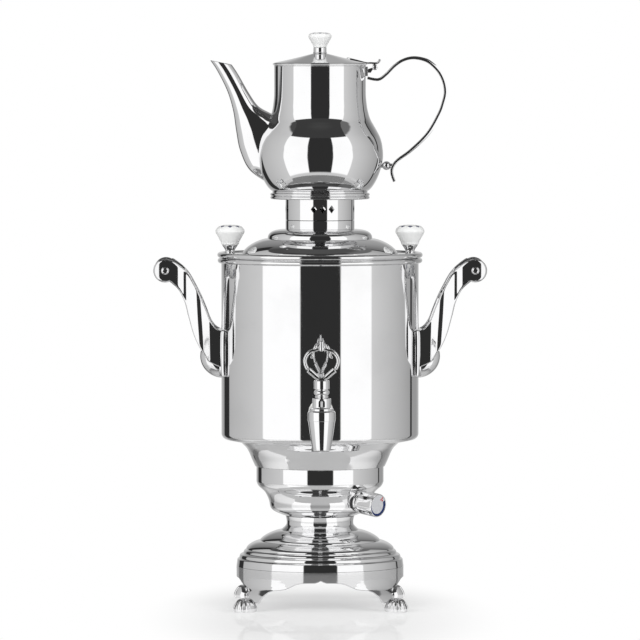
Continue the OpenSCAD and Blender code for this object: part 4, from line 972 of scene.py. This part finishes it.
# %% [markdown]
# ## The teapot's handle
# The handle is a strap bent on edge: out of the hinge bracket, up, round in a heart-like loop and down
# to a ball stud on the belly, below which it curls away. Its section is flat inside and crowned
# outside, most at the outer end of the loop, where the hand's fingers lie against it.

# %% Strap and stud
strap_shares = [(0.02, 0.838), (0.155, 0.825), (0.25, 0.864), (0.362, 0.936), (0.473, 0.983), (0.602, 1),
                (0.741, 0.983), (0.833, 0.947), (0.926, 0.882), (0.982, 0.804), (1, 0.721), (0.972, 0.637),
                (0.919, 0.546), (0.777, 0.390), (0.567, 0.255), (0.400, 0.174), (0.337, 0.121),
                (0.325, 0.068), (0.358, 0)]
strap = np.asarray(strap_shares) * (71.3, 110.9) + (NECK_R, POT_Z + 10.1)
STRAP_ROWS = 420
strap_curve = spaced(smooth(strap, 12), STRAP_ROWS)
strap_step = np.gradient(strap_curve, axis=0)
strap_step /= np.linalg.norm(strap_step, axis=1, keepdims=True)
strap_side = np.column_stack([-strap_step[:, 1], strap_step[:, 0]])
strap_at = np.linspace(0, 1, STRAP_ROWS)
strap_width = np.interp(strap_at, [0, 0.12, 0.75, 1], [5.4, 6.5, 6.5, 5.7])
strap_crown = np.interp(strap_at, [0, 0.2, 0.32, 0.5, 0.72, 0.85, 1], [0.3, 0.3, 1.0, 1.7, 1.1, 0.4, 0.3])
# Half of the section, from the inner face to the outer: millimetres outwards, share of the crown that is
# added to them, and share of the half width.
half_section = eased([(-1.15, 0.0), (-1.15, 0.93), (-0.85, 1.0), (0.75, 1.0), (1.0, 0.985)], 0.12, 4)
strap_u = np.concatenate([half_section[:, 0], [1.1, 1.15, 1.15]])
strap_c = np.concatenate([0 * half_section[:, 0], [0.5, 0.96, 1.0]])
strap_v = np.concatenate([half_section[:, 1], [0.92, 0.86, 0.0]])
u_round = np.concatenate([strap_u, strap_u[-2:0:-1]])
c_round = np.concatenate([strap_c, strap_c[-2:0:-1]])
v_round = np.concatenate([strap_v, -strap_v[-2:0:-1]])
strap_out = u_round + c_round * strap_crown[:, None]
strap_across = v_round * strap_width[:, None]
strap_x = strap_curve[:, :1] + strap_side[:, :1] * strap_out
strap_z = strap_curve[:, 1:] + strap_side[:, 1:] * strap_out
strap_shape = loft(np.stack([strap_x, strap_across, strap_z], -1))
put("handle_strap", [strap_shape], "teapot", ["teapot_handle"], crease=22)
stud_place = strap[16]
BALL_R, BALL_SHARE = 4.0, 0.36
ball_x = BELLY_R + (stud_place[0] - BELLY_R) * BALL_SHARE
ball_outline = arc((0, 0), BALL_R, -90, 90, 25)
stud_rod = eased([(0, -6.0), (2.0, -6.0), (2.0, 5.0), (0, 5.0)], 0.3)
stud = [aimed(lathe(o, 64), (ball_x, 0, stud_place[1] + 0.8), (1, 0, 0)) for o in (ball_outline, stud_rod)]
put("ball_stud", stud, "teapot", ["handle_stud"])

# %% [markdown]
# ## The hinge
# A small bracket on the teapot's neck holds two ears and their knuckles; the pin runs through them and
# through the knuckle of the lid's leaf, which lies between.

# %% Hinge
HINGE_X, HINGE_Z, KNUCKLE_R = 49.4, 484.7, 2.3


def block(low, high, soft=0.35):
    """A box with rounded long edges: rounded rectangles stacked from low to high."""
    low, high = np.asarray(low, float), np.asarray(high, float)
    c, s = superellipse(40, 12)
    half = (high - low) / 2
    middle = (high + low) / 2
    inset, drop = soft / half[0], soft / half[2]
    rows = np.array([(-1, 1 - inset), (-1 + drop * 0.3, 1 - inset * 0.3), (-1 + drop, 1),
                     (1 - drop, 1), (1 - drop * 0.3, 1 - inset * 0.3), (1, 1 - inset)])
    z, k = rows[:, :1], rows[:, 1:]
    return loft(middle + half * np.stack([k * c, k * s, z + 0 * c], -1))


def knuckle(y_low, y_high):
    """A piece of the hinge's tube between two places along the pin."""
    long = y_high - y_low
    barrel = eased([(0.95, 0), (1.3, 0), (KNUCKLE_R, 0.55), (KNUCKLE_R, long - 0.55), (1.3, long),
                    (0.95, long)], 0.2)
    return aimed(lathe(barrel, 48), (HINGE_X, y_low, HINGE_Z), (0, 1, 0))


def ear(y):
    """The arm that carries a knuckle out from the bracket."""
    path = [(41.6, y, 480.5), (44.5, y, 481.8), (HINGE_X - 1.2, y, HINGE_Z - 0.2)]
    return rod(path, 2.1, 0.9, power=5, cap=0.3)


ears = [knuckle(-5.1, -3.3), ear(-4.2), knuckle(3.3, 5.1), ear(4.2)]
plate = block((41.25, -5.1, 476.9), (43.0, 5.1, 485.6))
put("hinge_plate", [plate, *ears], "teapot", ["hinge_bracket"])

# %% [markdown]
# ## The teapot's lid
# A shallow cone with a beaded rim, a turned ferrule and a porcelain knob. The hinge leaf lies on the
# cone, passes over the rim, wraps the pin and ends in a small upturned lever.

# %% Teapot lid
COVER_Z, COVER_R, COVER_TOP, PEAK_R = 487.3, 42.5, 497.5, 5.5
cover_rim = eased([(41.2, COVER_Z), (COVER_R, COVER_Z), (COVER_R, COVER_Z + 1.0), (41.2, COVER_Z + 1.7)], 0.5)
cover_cone = formed((41.0, COVER_Z + 1.75), (PEAK_R, COVER_TOP), [(0.5, 0.47)], 14)
cover_line = np.vstack([[(0, COVER_Z + 1.0), (38.5, COVER_Z + 1.0)], cover_rim, cover_cone, [(0, COVER_TOP)]])
spun("pot_cover", cover_line, "teapot_lid", "teapot_lid")
slope = 9.0 / (COVER_R - PEAK_R)
leaf_way = smooth([(24, COVER_TOP - (24 - PEAK_R) * slope + 0.3),
                   (33, COVER_TOP - (33 - PEAK_R) * slope + 0.35),
                   (41.6, COVER_Z + 1.6), (46, COVER_Z + 1.5), (HINGE_X + 1, COVER_Z + 1.3),
                   (HINGE_X + 3.2, COVER_Z + 2.4), (HINGE_X + 4.6, COVER_Z + 5.0)], 8)
leaf_path = np.column_stack([leaf_way[:, 0], 0 * leaf_way[:, 0], leaf_way[:, 1]])
leaf_thick = np.interp(leaf_way[:, 0], [40, 46, 51, 54], [0.75, 0.9, 1.0, 1.15])
leaf_wide = np.interp(leaf_way[:, 0], [24, 27, 40, 50, 54], [1.2, 2.9, 3.0, 3.0, 3.6])
leaf = rod(leaf_path, leaf_thick, leaf_wide, power=4, cap=0.8)
web = rod([(HINGE_X - 0.5, 0, HINGE_Z + 0.6), (HINGE_X - 0.2, 0, COVER_Z + 1.6)], 1.6, 3.0, power=5)
put("thumb_leaf", [leaf, knuckle(-3.0, 3.0), web], "teapot_lid", ["thumb_lever"])
SMALL_FERRULE_H, SMALL_KNOB_H, PAINT_SCALE = 5.2, 13.7, 1.26
pot_ferrule = eased([(0, 0), (6.2, 0), (6.2, 0.7), (5.8, 1.0), (5.8, SMALL_FERRULE_H),
                     (0, SMALL_FERRULE_H)], 0.3)
spun("pot_ferrule", pot_ferrule, "teapot_lid", "lid_ferrule", 96, (0, 0, COVER_TOP))
KNOB_FOOT = (0, 0, COVER_TOP + SMALL_FERRULE_H)
small_foot = eased([(1.65, 0.01), (5.6, 0.0), (6.2, 0.8), (6.6, 2.6)], 0.5)[1:]
small_side = smooth([(6.8, 3.0), (8.6, 6.0), (10.2, 9.0), (10.4, 10.2), (9.6, 12.0), (6.8, 13.2),
                     (0, SMALL_KNOB_H)], 10)
small_knob = np.vstack([[(0, 6), (1.65, 6), (1.65, 0)], small_foot, small_side])
small_shape = shifted(fluted(lathe(small_knob, 120), SMALL_KNOB_H), KNOB_FOOT)
put("pot_knob", [small_shape], "teapot_lid", ["teapot_knob"], KNOB_GLAZE, 50,
    lambda p: (p - KNOB_FOOT) * (PAINT_SCALE, PAINT_SCALE, 1 / SMALL_KNOB_H))

# %% [markdown]
# ## The tap
# A samovar's tap is a plug valve. The tapering body is turned; the cap above it has an arched window
# at the front, in which a stop pin stands. The body, the nozzle and the cap are lathe work, and the
# window is cut out of the cap with a Boolean.

# %% Tap body
TAP_Y, TAP_Z, TAP_FOOT, TAP_TOP = -149.0, 180.0, 175.5, 184.5
TAP_PLACE = (0, TAP_Y, 0)
barrel_line = eased([(6.6, TAP_FOOT), (12.1, TAP_FOOT), (12.1, TAP_TOP - 1.2), (11.2, TAP_TOP),
                     (6.6, TAP_TOP)], 0.4)
pipe_line = eased([(6.3, 0), (8.4, 0), (8.4, 11.5), (6.3, 11.5)], 0.3)
pipe_lip = eased([(6.3, 0), (8.8, 0), (8.8, 5), (6.3, 5)], 0.8)
rear = [aimed(lathe(o, 96), (0, TAP_Y + 22, TAP_Z), (0, -1, 0)) for o in (pipe_line, pipe_lip)]
put("tap_barrel", [shifted(lathe(barrel_line, 120), TAP_PLACE), *rear], "vessel", ["tap_body"])
nozzle_bore = smooth([(5.0, 172), (5.0, 160), (5.2, 150.2)], 4)
nozzle_cone = smooth([(7.9, 149.8), (9.0, 156), (10.5, 166), (11.7, 174.6), (11.75, 175.4)], 8)
nozzle_line = np.vstack([[(3.1, TAP_FOOT - 3)], nozzle_bore, [(7.6, 149.5)], nozzle_cone, [(3.1, 175.4)]])
spun("tap_nozzle_cone", nozzle_line, "vessel", "tap_nozzle", 120, TAP_PLACE)
cap_line = eased([(4.65, 184.5), (10.3, 184.5), (10.3, 186.5), (8.4, 187.1), (8.2, 187.6), (8.2, 195.2),
                  (7.6, 195.5), (4.65, 195.5)], 0.35)
cap = spun("tap_cap", cap_line, "vessel", "tap_bonnet", 120, TAP_PLACE)
WINDOW_HALF = 2.8
arch = arc((0, 191.9), WINDOW_HALF, 0, 180, 30)
window = np.vstack([[(-WINDOW_HALF, 187.9), (WINDOW_HALF, 187.9)], arch])
carve(cap, [prism(window, TAP_Y - 12, TAP_Y - 5.3)])
pin_line = eased([(0, 186.9), (1.05, 186.9), (1.05, 192.9), (0.6, 193.6), (0, 193.7)], 0.3)
spun("tap_stop_pin", pin_line, "vessel", "tap_bonnet", 40, (0, TAP_Y - 6.5, 0))
rosette_line = eased([(6.3, 0), (9.0, 0), (9.0, 1.6), (8.7, 2.6), (8.4, 4.0), (7.7, 6.0), (6.3, 6.0)], 0.6)
rosette = aimed(lathe(rosette_line, 96), (0, -90.3, TAP_Z), (0, -1, 0))
put("tap_rosette", [rosette], "vessel", ["tap_escutcheon"])

# %% [markdown]
# ## The tap's key
# The key is cast: a beaded stem opens into two bars that rise in a V, step out at two corners, swing
# round as an onion-shaped loop with a small scroll inside each shoulder, and meet under a leaf with
# a petal on each side. Each member is a round bar carried along its own curve.

# %% Key
STEM_Z = 195.8
stem_line = eased([(4.65, 0), (5.1, 0), (5.7, 0.5), (5.7, 1.6), (5.0, 2.1), (5.0, 2.6), (6.2, 3.1),
                   (6.75, 4.2), (6.75, 5.3), (6.2, 6.4), (5.2, 6.9), (5.2, 7.4), (6.8, 7.8), (6.8, 14.9),
                   (6.0, 15.7), (0, 15.7), (0, 8), (4.65, 8)], 0.3)
key_v = [(0.0, 211.4), (3.4, 213.4), (7.4, 216.8), (11.7, 220.5)]
key_loop = [(11.9, 220.6), (13.8, 224.1), (14.6, 227.8), (14.0, 231.2), (11.7, 234.8), (8.3, 237.0),
            (4.9, 237.9), (2.5, 238.8), (1.6, 240.4), (1.3, 242.6)]
key_scroll = [(11.0, 235.5), (8.9, 235.3), (7.5, 233.8), (8.0, 231.8), (9.8, 231.3)]
key_petal = [(6.8, 237.4), (5.9, 239.4), (4.9, 241.2), (4.0, 242.4)]
key_leaf = [(0, 236.5), (0, 239.5), (0, 242.6), (0, 245.8)]


def bar(points, radius, side=1, cap=0.8, power=2.0, depth=1.0):
    """A bar of the key along a curve in its plane, on the left (-1) or the right (1)."""
    curve = spaced(smooth(points, 8), 60)
    path = np.column_stack([side * curve[:, 0], np.full(60, TAP_Y), curve[:, 1]])
    thick = np.interp(np.linspace(0, 1, 60), np.linspace(0, 1, len(radius)), radius)
    return rod(path, thick, thick * depth, power=power, cap=cap, columns=24)


def key_half(side):
    """The four bars of the key's left (-1) or right (1) half."""
    return [bar(key_v, (2.1, 2.2, 2.3, 2.4, 2.5), side, 0.5, 2.4),
            bar(key_loop, (1.6, 1.6, 1.6, 1.6, 1.6, 1.4, 1.2, 1.1), side),
            bar(key_scroll, (1.2, 1.15, 1.1, 1.2, 1.4), side, 1.0),
            bar(key_petal, (1.0, 1.3, 1.2, 0.7), side, 0.6)]


crossing = bar([(-3.4, 213.3), (0, 211.6), (3.4, 213.3)], (2.0, 2.1, 2.0), 1, 0.5, 2.4, 1.2)
leaf_bar = bar(key_leaf, (2.2, 1.9, 1.9, 1.7, 1.3), 1, 1.2, 2.0, 0.8)
stem = shifted(lathe(stem_line, 96), (0, TAP_Y, STEM_Z))
key_shapes = [stem, crossing, leaf_bar, *key_half(-1), *key_half(1)]
put("key", key_shapes, "tap_key", ["tap_key"], CAST_CHROME, crease=55)

# %% [markdown]
# ## The handles' arms
# Each handle is a casting: a saddle on the drum, a rounded web, and two arms that climb and end in a
# round boss. An arm is lofted between its two edge lines, with softened edges. Its faces aren't quite
# flat: they hollow and swell along its length, which draws dark and bright streaks on them. That
# leaning is a table of slopes, added up into a displacement.

# %% Handle arms
GRIP_REACH, GRIP_RISE, PLATE_FOOT = 50.2, 88.9, 214.0
GRIP_X, GRIP_Z, BOSS_R = 139.0, 302.9, 10.6
arm_outer = [(0.767, 0.810), (0.655, 0.684), (0.589, 0.540), (0.495, 0.358), (0.394, 0.232), (0.302, 0.155),
             (0.223, 0.082), (0.032, 0.029)]
arm_inner = [(-0.02, 0.388), (0.096, 0.422), (0.191, 0.495), (0.271, 0.612), (0.366, 0.738), (0.464, 0.847),
             (0.559, 0.946), (0.671, 1.022), (0.850, 1.100)]


def beside_drum(shares):
    """Shares of the handle's reach and rise as millimetres from the axis and the ground."""
    return np.asarray(shares, float) * (GRIP_REACH, GRIP_RISE) + (DRUM_R, PLATE_FOOT)


def arm_edge(boss_end, shares):
    """One edge of the arm: round the boss to that angle in degrees, then down to the drum."""
    boss = arc((GRIP_X, GRIP_Z), BOSS_R, 0, boss_end, 26)
    way_down = smooth(np.vstack([boss[-1:], beside_drum(shares)]), 10)
    return np.vstack([boss, spaced(way_down, 91)[1:]])


upper_line = arm_edge(118, arm_inner[::-1])
lower_line = arm_edge(-112, arm_outer)
ARM_HALF, ARM_Y, LEAN_Z = 2.5, 25.5, 255
# The lean of the front face is its rise outwards along Y for each millimetre away from the vessel's axis.
# lean_at holds distances from the axis at the height LEAN_Z; lean_shear moves them out with the height.
lean_at = [86, 98.8, 99.3, 100.2, 105.2, 106.0, 107.8, 109.6, 110.5, 118.8, 120.0, 121.2, 122.4, 123.5, 126.6,
           127.6, 133, 139, 142, 144.9, 147, 152]
lean = [0, 0, 0.21, 0.31, 0.31, 0.21, 0, -0.21, -0.28, -0.28, -0.21, 0, 0.21, 0.30, 0.30, 0.2,
        0.05, 0, -0.10, -0.21, -0.33, -0.46]
shear_at, lean_shear = [99, 105, 110, 119, 124], [0.02, 0.07, 0.07, 0.01, 0.0]
lean_x = np.linspace(86, 156, 561)
swell_y = np.cumsum(np.interp(lean_x, lean_at, lean)) * (lean_x[1] - lean_x[0])
swell_y -= np.interp(GRIP_X, lean_x, swell_y)


def arm(y_side):
    """Points between the two edges, on both faces. The half thickness is t - e + sqrt(e^2 - (e - d)^2)
    at a distance d < e from the outline."""
    across = 0.5 - 0.5 * np.cos(np.linspace(0, math.pi, 34))
    flat = upper_line[:, None] + (lower_line - upper_line)[:, None] * across[:, None]
    x, z = flat[..., 0], flat[..., 1]
    outline = np.vstack([spaced(upper_line, 400), spaced(lower_line, 400)])
    gap = flat.reshape(-1, 1, 2) - outline[None]
    edge = np.interp(x, [112, 128], [1.1, 2.1])
    near = np.minimum(np.sqrt((gap**2).sum(-1)).min(1).reshape(x.shape), edge)
    thick = ARM_HALF - edge + np.sqrt(edge**2 - (edge - near) ** 2)
    on_boss = GRIP_X + np.hypot(x - GRIP_X, 0.45 * (z - GRIP_Z))
    along = np.where(x > GRIP_X, on_boss, x - np.interp(x, shear_at, lean_shear) * (z - LEAN_Z))
    middle = y_side * (ARM_Y + np.interp(along, lean_x, swell_y))
    shell = np.concatenate([np.stack([x, middle + y_side * thick, z], -1),
                            np.stack([x, middle - y_side * thick, z], -1)[:, ::-1]], 1)
    return loft(shell)


print("arm:", len(upper_line), "steps; its face swells by", round(float(np.ptp(swell_y)), 2), "mm")

# %% [markdown]
# ## The handles' webs and saddles
# The web is a pillow: its side outline is carried along Y and drawn in at both ends. The saddle is a
# rounded plate bent round the drum. With the two arms they make one casting.

# %% Web, saddle and the whole brackets
WEB_HALF, WEB_EDGE = 23.4, 9.5
SADDLE_SPAN = 19.2
web_low = arc((DRUM_R, 226), (20.5, 19.8), -90, 0, 30)
web_high = smooth([(109.0, 229.5), (103.5, 236.5), (96.0, 241.5), (DRUM_R, 243.5)], 8)
web_side = np.vstack([[(DRUM_R, 206.2)], web_low, web_high])
WEB_HEART = np.array([DRUM_R, 226.0])


def web_pillow():
    """The side outline carried along Y, drawn in towards the drum over a quarter circle at both ends."""
    t = np.linspace(0, math.pi / 2, 14)
    ends = WEB_HALF - WEB_EDGE * (1 - np.sin(t))
    y = np.concatenate([-ends[::-1], ends])
    drawn_in = np.concatenate([(1 - np.cos(t))[::-1], 1 - np.cos(t)]) * WEB_EDGE
    away = web_side - WEB_HEART
    flat = WEB_HEART + away * (1 - drawn_in[:, None, None] / np.abs(away).max())
    from_axis = np.sqrt((DRUM_R - 0.4) ** 2 - y**2) - DRUM_R
    x, z = flat[..., 0] + from_axis[:, None], flat[..., 1]
    return loft(np.stack([x, y[:, None] + 0 * x, z], -1))


def saddle():
    """A rounded plate bent round the drum: rounded rectangles in radius and height, carried round."""
    c, s = superellipse(48, 5)
    a = np.radians(np.linspace(-SADDLE_SPAN, SADDLE_SPAN, 60))
    end = np.sqrt(1 - (1 - np.clip((np.radians(SADDLE_SPAN) - np.abs(a)) / 0.03, 0.02, 1)) ** 2)[:, None]
    r = DRUM_R + (2.2 + 2.4 * c) * (0.35 + 0.65 * end)
    z = 228.6 + (18.9 + 2.2 * end) * s
    return loft(np.stack([r * np.cos(a)[:, None], r * np.sin(a)[:, None], z], -1))


bracket = [arm(-1), arm(1), web_pillow(), saddle()]
put("right_bracket", bracket, "vessel", ["handle_bracket_right"], CAST_CHROME, crease=42)
put("left_bracket", [mirrored(s) for s in bracket], "vessel", ["handle_bracket_left"], CAST_CHROME, crease=42)

# %% [markdown]
# ## The screws at the arms' ends
# A domed screw head closes each boss. Its cross is cut with two flat bars, as a driver's slot is.

# %% Handle screws
screw_head = np.vstack([[(0, -0.6), (3.5, -0.6)], eased([(3.5, 0), (3.3, 0.7), (2.2, 1.45), (0, 1.75)], 0.5)])
face_y = ARM_Y + ARM_HALF
heads = [aimed(lathe(screw_head, 64), (x_side * GRIP_X, y_side * face_y, GRIP_Z), (0, y_side, 0))
         for x_side in (-1, 1) for y_side in (-1, 1)]
screws = put("arm_screws", heads, "vessel", ["handle_end_screws"], crease=30)


def slot_bars(x_side, angle):
    """Two flat bars, front and back, that cut one slot of the cross in both heads of a side."""
    c, s = math.cos(math.radians(angle)), math.sin(math.radians(angle))
    corners = np.array([(-2.3, -0.42), (2.3, -0.42), (2.3, 0.42), (-2.3, 0.42)])
    outline = corners @ np.array([[c, s], [-s, c]]) + (x_side * GRIP_X, GRIP_Z)
    return [prism(outline, -face_y - 3, -face_y - 0.4), prism(outline, face_y + 0.4, face_y + 3)]


slots = [slot_bars(x_side, angle) for x_side in (-1, 1) for angle in (20, 110)]
carve(screws, [cutter for pair in slots for cutter in pair], 30)

# %% [markdown]
# ## The grips
# A porcelain barrel joins the two arms, on a rod that runs through it. Its radius falls off with the
# square of the distance from the middle.

# %% Grips
GRIP_HALF, GRIP_BORE, GRIP_R, GRIP_TAPER = 22.8, 2.55, 9.6, 1.8
grip_along = np.linspace(-GRIP_HALF, GRIP_HALF, 41)
barrel = np.column_stack([GRIP_R - GRIP_TAPER * (grip_along / GRIP_HALF) ** 2, grip_along])
grip_outline = eased(np.vstack([[(GRIP_BORE, -GRIP_HALF)], barrel, [(GRIP_BORE, GRIP_HALF)]]), 0.5)


def grip(label, side):
    """The grip on the left (-1) or the right (1), with its own coordinates for the paint."""
    centre = np.array([side * GRIP_X, 0, GRIP_Z])
    shape = aimed(lathe(grip_outline, 96), centre, (0, 1, 0))
    put(label + "_grip", [shape], "vessel", ["handle_grip_" + label], GRIP_GLAZE, 50,
        lambda p: (p - centre)[:, [0, 2, 1]])


grip("left", -1)
grip("right", 1)

# %% [markdown]
# ## The thermostat's knob
# A chromed cup turns in front of a black bush with a chromed ring. Its face is a brushed grey disc with
# a deep blue band that narrows as it goes round, and three red dots beside its wide end. They are
# painted in the disc's own coordinates: the angle is counted clockwise from the top, from outside.

# %% Thermostat
TURN, TILT = math.radians(47), math.radians(7)
axis_out = np.array([math.sin(TURN) * math.cos(TILT), -math.cos(TURN) * math.cos(TILT), -math.sin(TILT)])
axis_start = np.array([0, 0, 102.05])
knob_low, knob_long, dial_sunk = 52.99, 18.5, 1.3
dial_up = np.array([0, 0, 1.0])


def on_knob(outline, start, turns=120):
    """A closed outline carried round the knob's own axis, start millimetres along it."""
    return aimed(lathe(outline, turns), axis_start + axis_out * start, axis_out, dial_up)


cup = eased([(4.6, 4.0), (4.6, 0.0), (9.7, 0.0), (10.5, 0.9), (10.5, 17.4), (10.1, 18.4), (9.6, 18.5),
             (9.45, 18.1), (9.45, 17.0), (0, 17.0)], 0.4)
cup_shape = on_knob(np.vstack([cup, [(0, 4.0)]]), knob_low)
put("knob_cup", [cup_shape], "thermostat", ["thermostat_knob"])
bush = eased([(3.65, 0), (9.3, 0), (9.3, 7.2), (8.8, 7.7), (3.65, 7.7)], 0.5)
put("knob_bush", [on_knob(bush, knob_low - 12.5)], "vessel", ["thermostat_bezel"], BLACK)
bush_ring = eased([(3.65, 0), (9.3, 0), (9.7, 0.8), (9.7, 2.4), (8.9, 3.0), (8.6, 3.9), (3.65, 3.9)], 0.5)
put("knob_ring", [on_knob(bush_ring, knob_low - 4.75)], "vessel", ["thermostat_bezel"])

BAND_FROM, BAND_TURN = 60, 215
RED_DOTS = ((34, 8.1), (29, 6.1), (47, 6.6))


def dial_finish():
    """Brushed grey with a tapering blue band and three red dots."""
    made, spot = surface("dial_face")
    own = made.node("SeparateXYZ", None, made.node("Attribute", {"attribute_name": "place"}).out("Vector"))
    x, y = own.out("X"), own.out("Y")
    clock = made.node("Math", {"operation": "ARCTAN2"}, x, y).out() * (180 / math.pi)
    clock = clock + (0.0 - clock).ramp(-0.01, 0.01) * 360
    reach_out = (x * x + y * y) ** 0.5
    share_on = (clock - BAND_FROM) / BAND_TURN
    inner_edge = 6.5 + share_on * share_on * 2.6
    band = (reach_out - inner_edge).ramp(-0.08, 0.08) * (1 - (reach_out - 9.2).ramp(-0.08, 0.08))
    band = band * share_on.ramp(0, 0.01) * (1 - share_on.ramp(0.99, 1.0))
    mark = 0.0
    for dot_clock, dot_reach in RED_DOTS:
        aside = x - dot_reach * math.sin(math.radians(dot_clock))
        over = y - dot_reach * math.cos(math.radians(dot_clock))
        mark = mark + (1 - ((aside * aside + over * over) ** 0.5).ramp(0.75, 0.95))
    grain = noise(made, spot, 1400, 2, (1, 1, 0.08))
    grey = made.mix(grain, (0.66, 0.67, 0.70), (0.76, 0.77, 0.79))
    colour = made.mix(mark, made.mix(band, grey, (0.0, 0.02, 0.14)), (0.60, 0.04, 0.05))
    return made.principled(colour, 0.28 + grain * 0.15, 0.35)


disc_start = axis_start + axis_out * (knob_low + knob_long - dial_sunk)
disc_right = np.cross(dial_up, axis_out) / np.linalg.norm(np.cross(dial_up, axis_out))
disc_upward = np.cross(axis_out, disc_right)


def on_disc(points):
    """Points in the disc's own coordinates: millimetres to the right and upwards from its middle."""
    away = points - disc_start
    return np.column_stack([away @ disc_right, away @ disc_upward, 0 * away[:, 0]])


disc = eased([(0, 0.02), (9.35, 0.02), (9.35, 0.7), (9.1, 0.95), (0, 0.95)], 0.2)
disc_shape = on_knob(disc, knob_low + knob_long - dial_sunk, 96)
put("dial", [disc_shape], "thermostat", ["thermostat_dial"], dial_finish(), place=on_disc)

# %% [markdown]
# ## The gland at the back
# The supply cord would enter here. The gland is moulded plastic with a rounded lip, and a groove that
# grips the sheet of the base.

# %% Gland
gland_line = eased([(3.7, 0), (7.6, 0), (8.5, 0.9), (8.5, 3.2), (7.6, 4.0), (6.5, 4.0), (6.5, 15.0),
                    (8.1, 15.0), (8.1, 17.5), (6.5, 17.5), (6.5, 20), (3.7, 20)], 0.4)
gland = aimed(lathe(gland_line, 80), (0, 79.3, 43.5), (0, -1, 0))
put("gland", [gland], "vessel", ["cord_gland"], BLACK)

# %% [markdown]
# ## What is inside
# The remaining pieces are seen only from below, through an open lid or not at all. Their CAD solids
# are right as they are, and get finishes.

# %% Finishes for the CAD nodes that stay
finishes = {
    STEEL: ["bottom_cover", "cover_screws", "tie_nuts", "tank_floor", "handle_rods", "handle_fixings",
            "thermostat_shaft", "hinge_pin", "tea_strainer", "heater_element", "tap_shank"],
    BRASS: ["tie_tube", "tap_nut"],
    CHROME: ["tap_plug"],
    ALUMINIUM: ["heater_plate"],
    SEAL: ["tap_gaskets"],
    STONEWARE: ["terminal_block"],
    BAKELITE: ["thermostat_body", "safety_cutout"],
    SLEEVE: ["heater_leads"],
}
for finish, names in finishes.items():
    for name in names:
        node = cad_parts[name]
        if not node.material_slots:
            node.data.materials.append(finish)
        for cell in node.material_slots:
            cell.material = finish
kept = sum(len(names) for names in finishes.values())
print("pieces made:", len(MADE), "with", sum(MADE.values()), "faces; CAD nodes kept:", kept)
